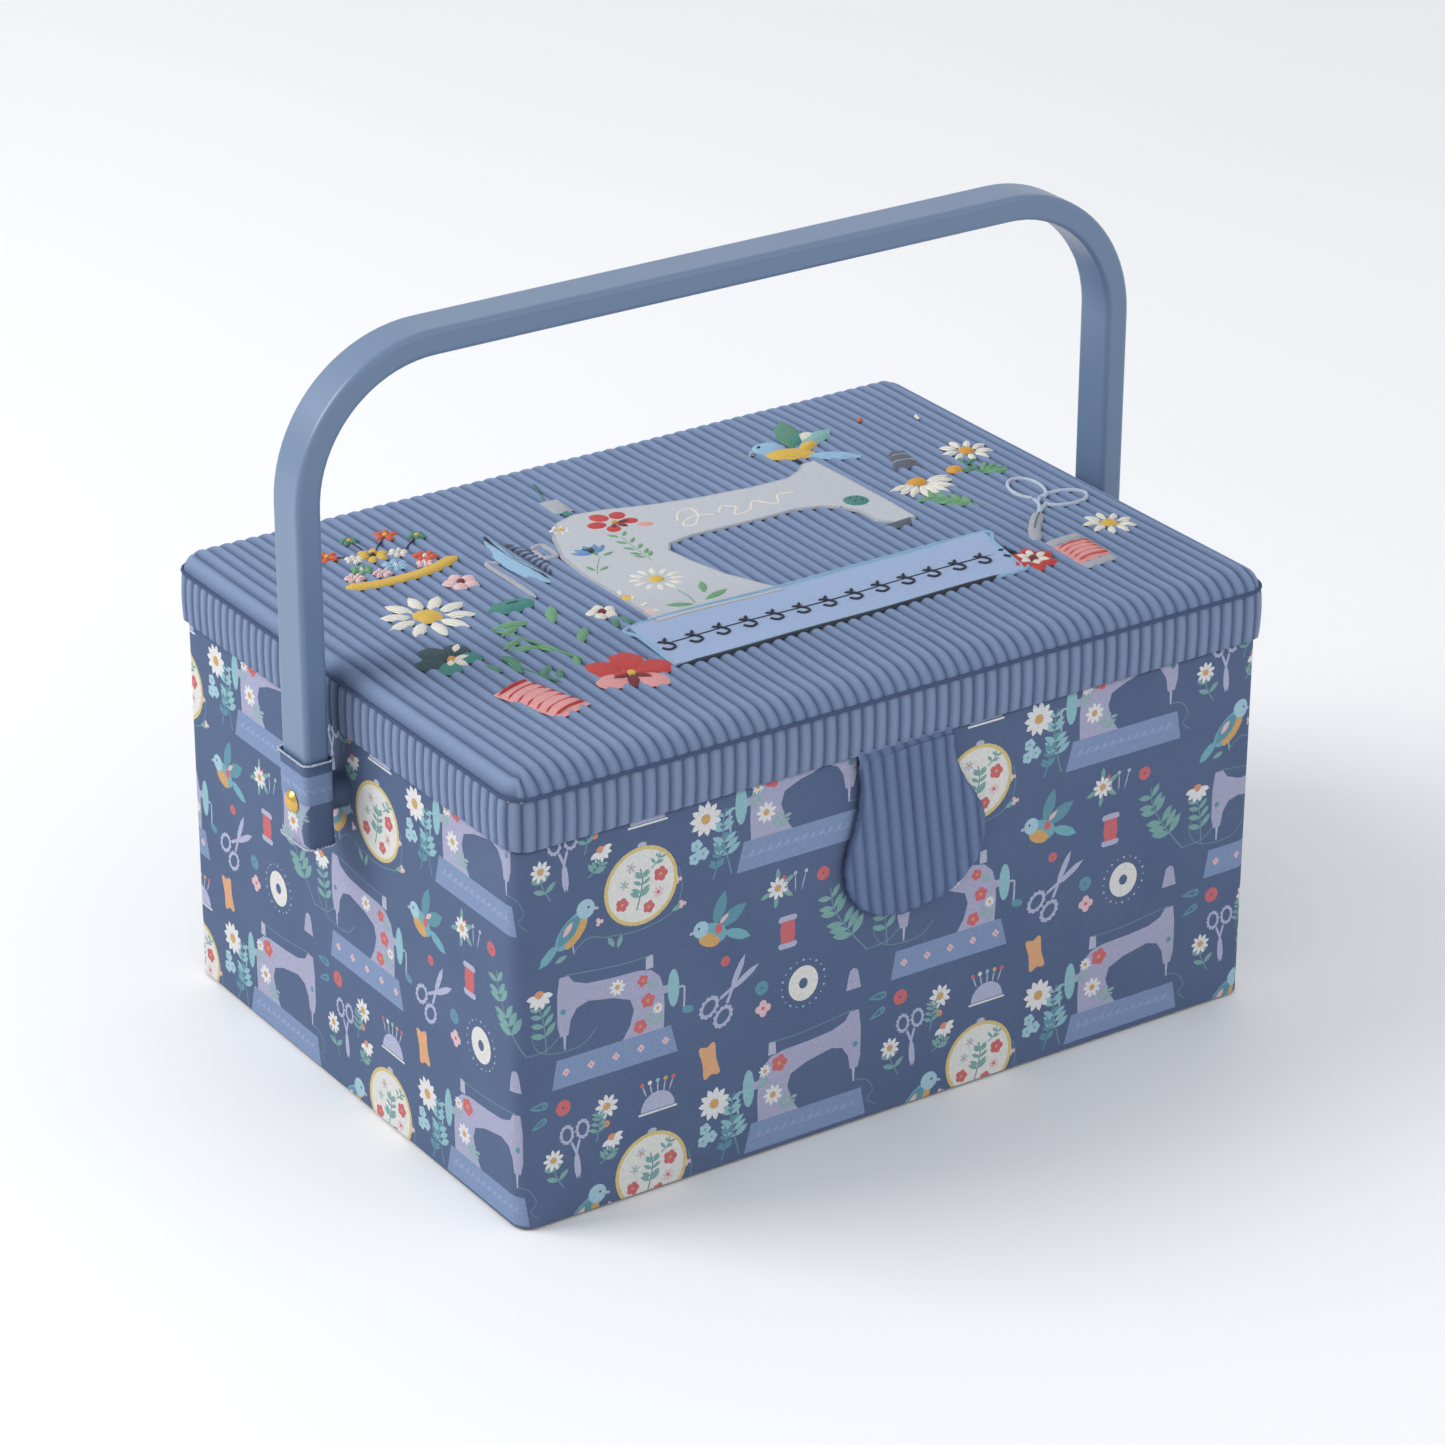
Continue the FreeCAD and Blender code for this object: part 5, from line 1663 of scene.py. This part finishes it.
hinge_piece("hinge_cloth_lower", [98.6, 118.2, 118.9, 119.6], [95.7, 95.7, 97.4, 97.7],
            [98.6, 108, 118.2, 118.5, 118.8, 119.0, 119.3, 119.6], "box", "hinge_strip",
            (0, 96.4, 118.5), (0, 97.5, 119.2), "hinge_leaf_lower", "hinge_strip")
hinge_piece("hinge_cloth_upper", [119.5, 120.3, 121.4, 134.2], [97.7, 97.75, 97.8, 97.8],
            [119.5, 119.8, 120.1, 120.4, 120.8, 121.4, 128, 134.2], "hinge_strip", "lid",
            (0, 97.7, 119.8), (0, 97.7, 120.5), "hinge_leaf_upper")

# %% The flap's neck: the flap's own ribs carried up and in under the band
neck_x, neck_t = np.meshgrid(np.linspace(-17.7, 15.1, 90), np.linspace(0, 1, 22), indexing="ij")
neck_z = 121.2 - 4.9 * neck_t
neck_a = (neck_x - flap_middle) * math.cos(flap_lean) + (neck_z - flap_high[2]) * math.sin(flap_lean)
neck_wave = rib(neck_a)
neck_puff = 0.9 * np.clip((16.6 - np.abs(neck_a)) / soft_edge, 0, 1) ** 0.5 * (0.25 + 0.8 * neck_wave)
on_flap = np.clip((119.9 - neck_z) / 1.6, 0, 1)
neck_y = -96.7 * (1 - on_flap) + on_flap * (flap_front - neck_puff - 0.05)
neck = grid_piece("flap_neck", np.stack([neck_x, neck_y, neck_z], -1), flap_cord)
point_value(neck, "Crest", neck_wave)
print("neck from", neck_z.max().round(1), "down to", neck_z.min().round(1), "mm")
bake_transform(neck)

# %% [markdown]
# ## The table
# A wide pale sheet of floor carries the box. It belongs to the stage and not to the object.

# %% Stage
spread, depth = np.meshgrid(np.linspace(-2500, 2500, 60), np.linspace(-2000, 4200, 60), indexing="ij")
rise = 900 * (np.clip(depth - 1600, 0, None) / 2600) ** 2
table_finish = Finish("pale_table", paint(236, 237, 239), 0.5, Specular_IOR_Level=0.3)
haze = table_finish.noise(table_finish.place(), 3, 2)
table_finish.link("Base Color", table_finish.mix(haze * 0.3, paint(238, 239, 241), paint(228, 230, 234)))
table = grid_piece("table", np.stack([spread, depth, rise - 0.02], -1), table_finish)
print("table", len(table.data.polygons), "faces")
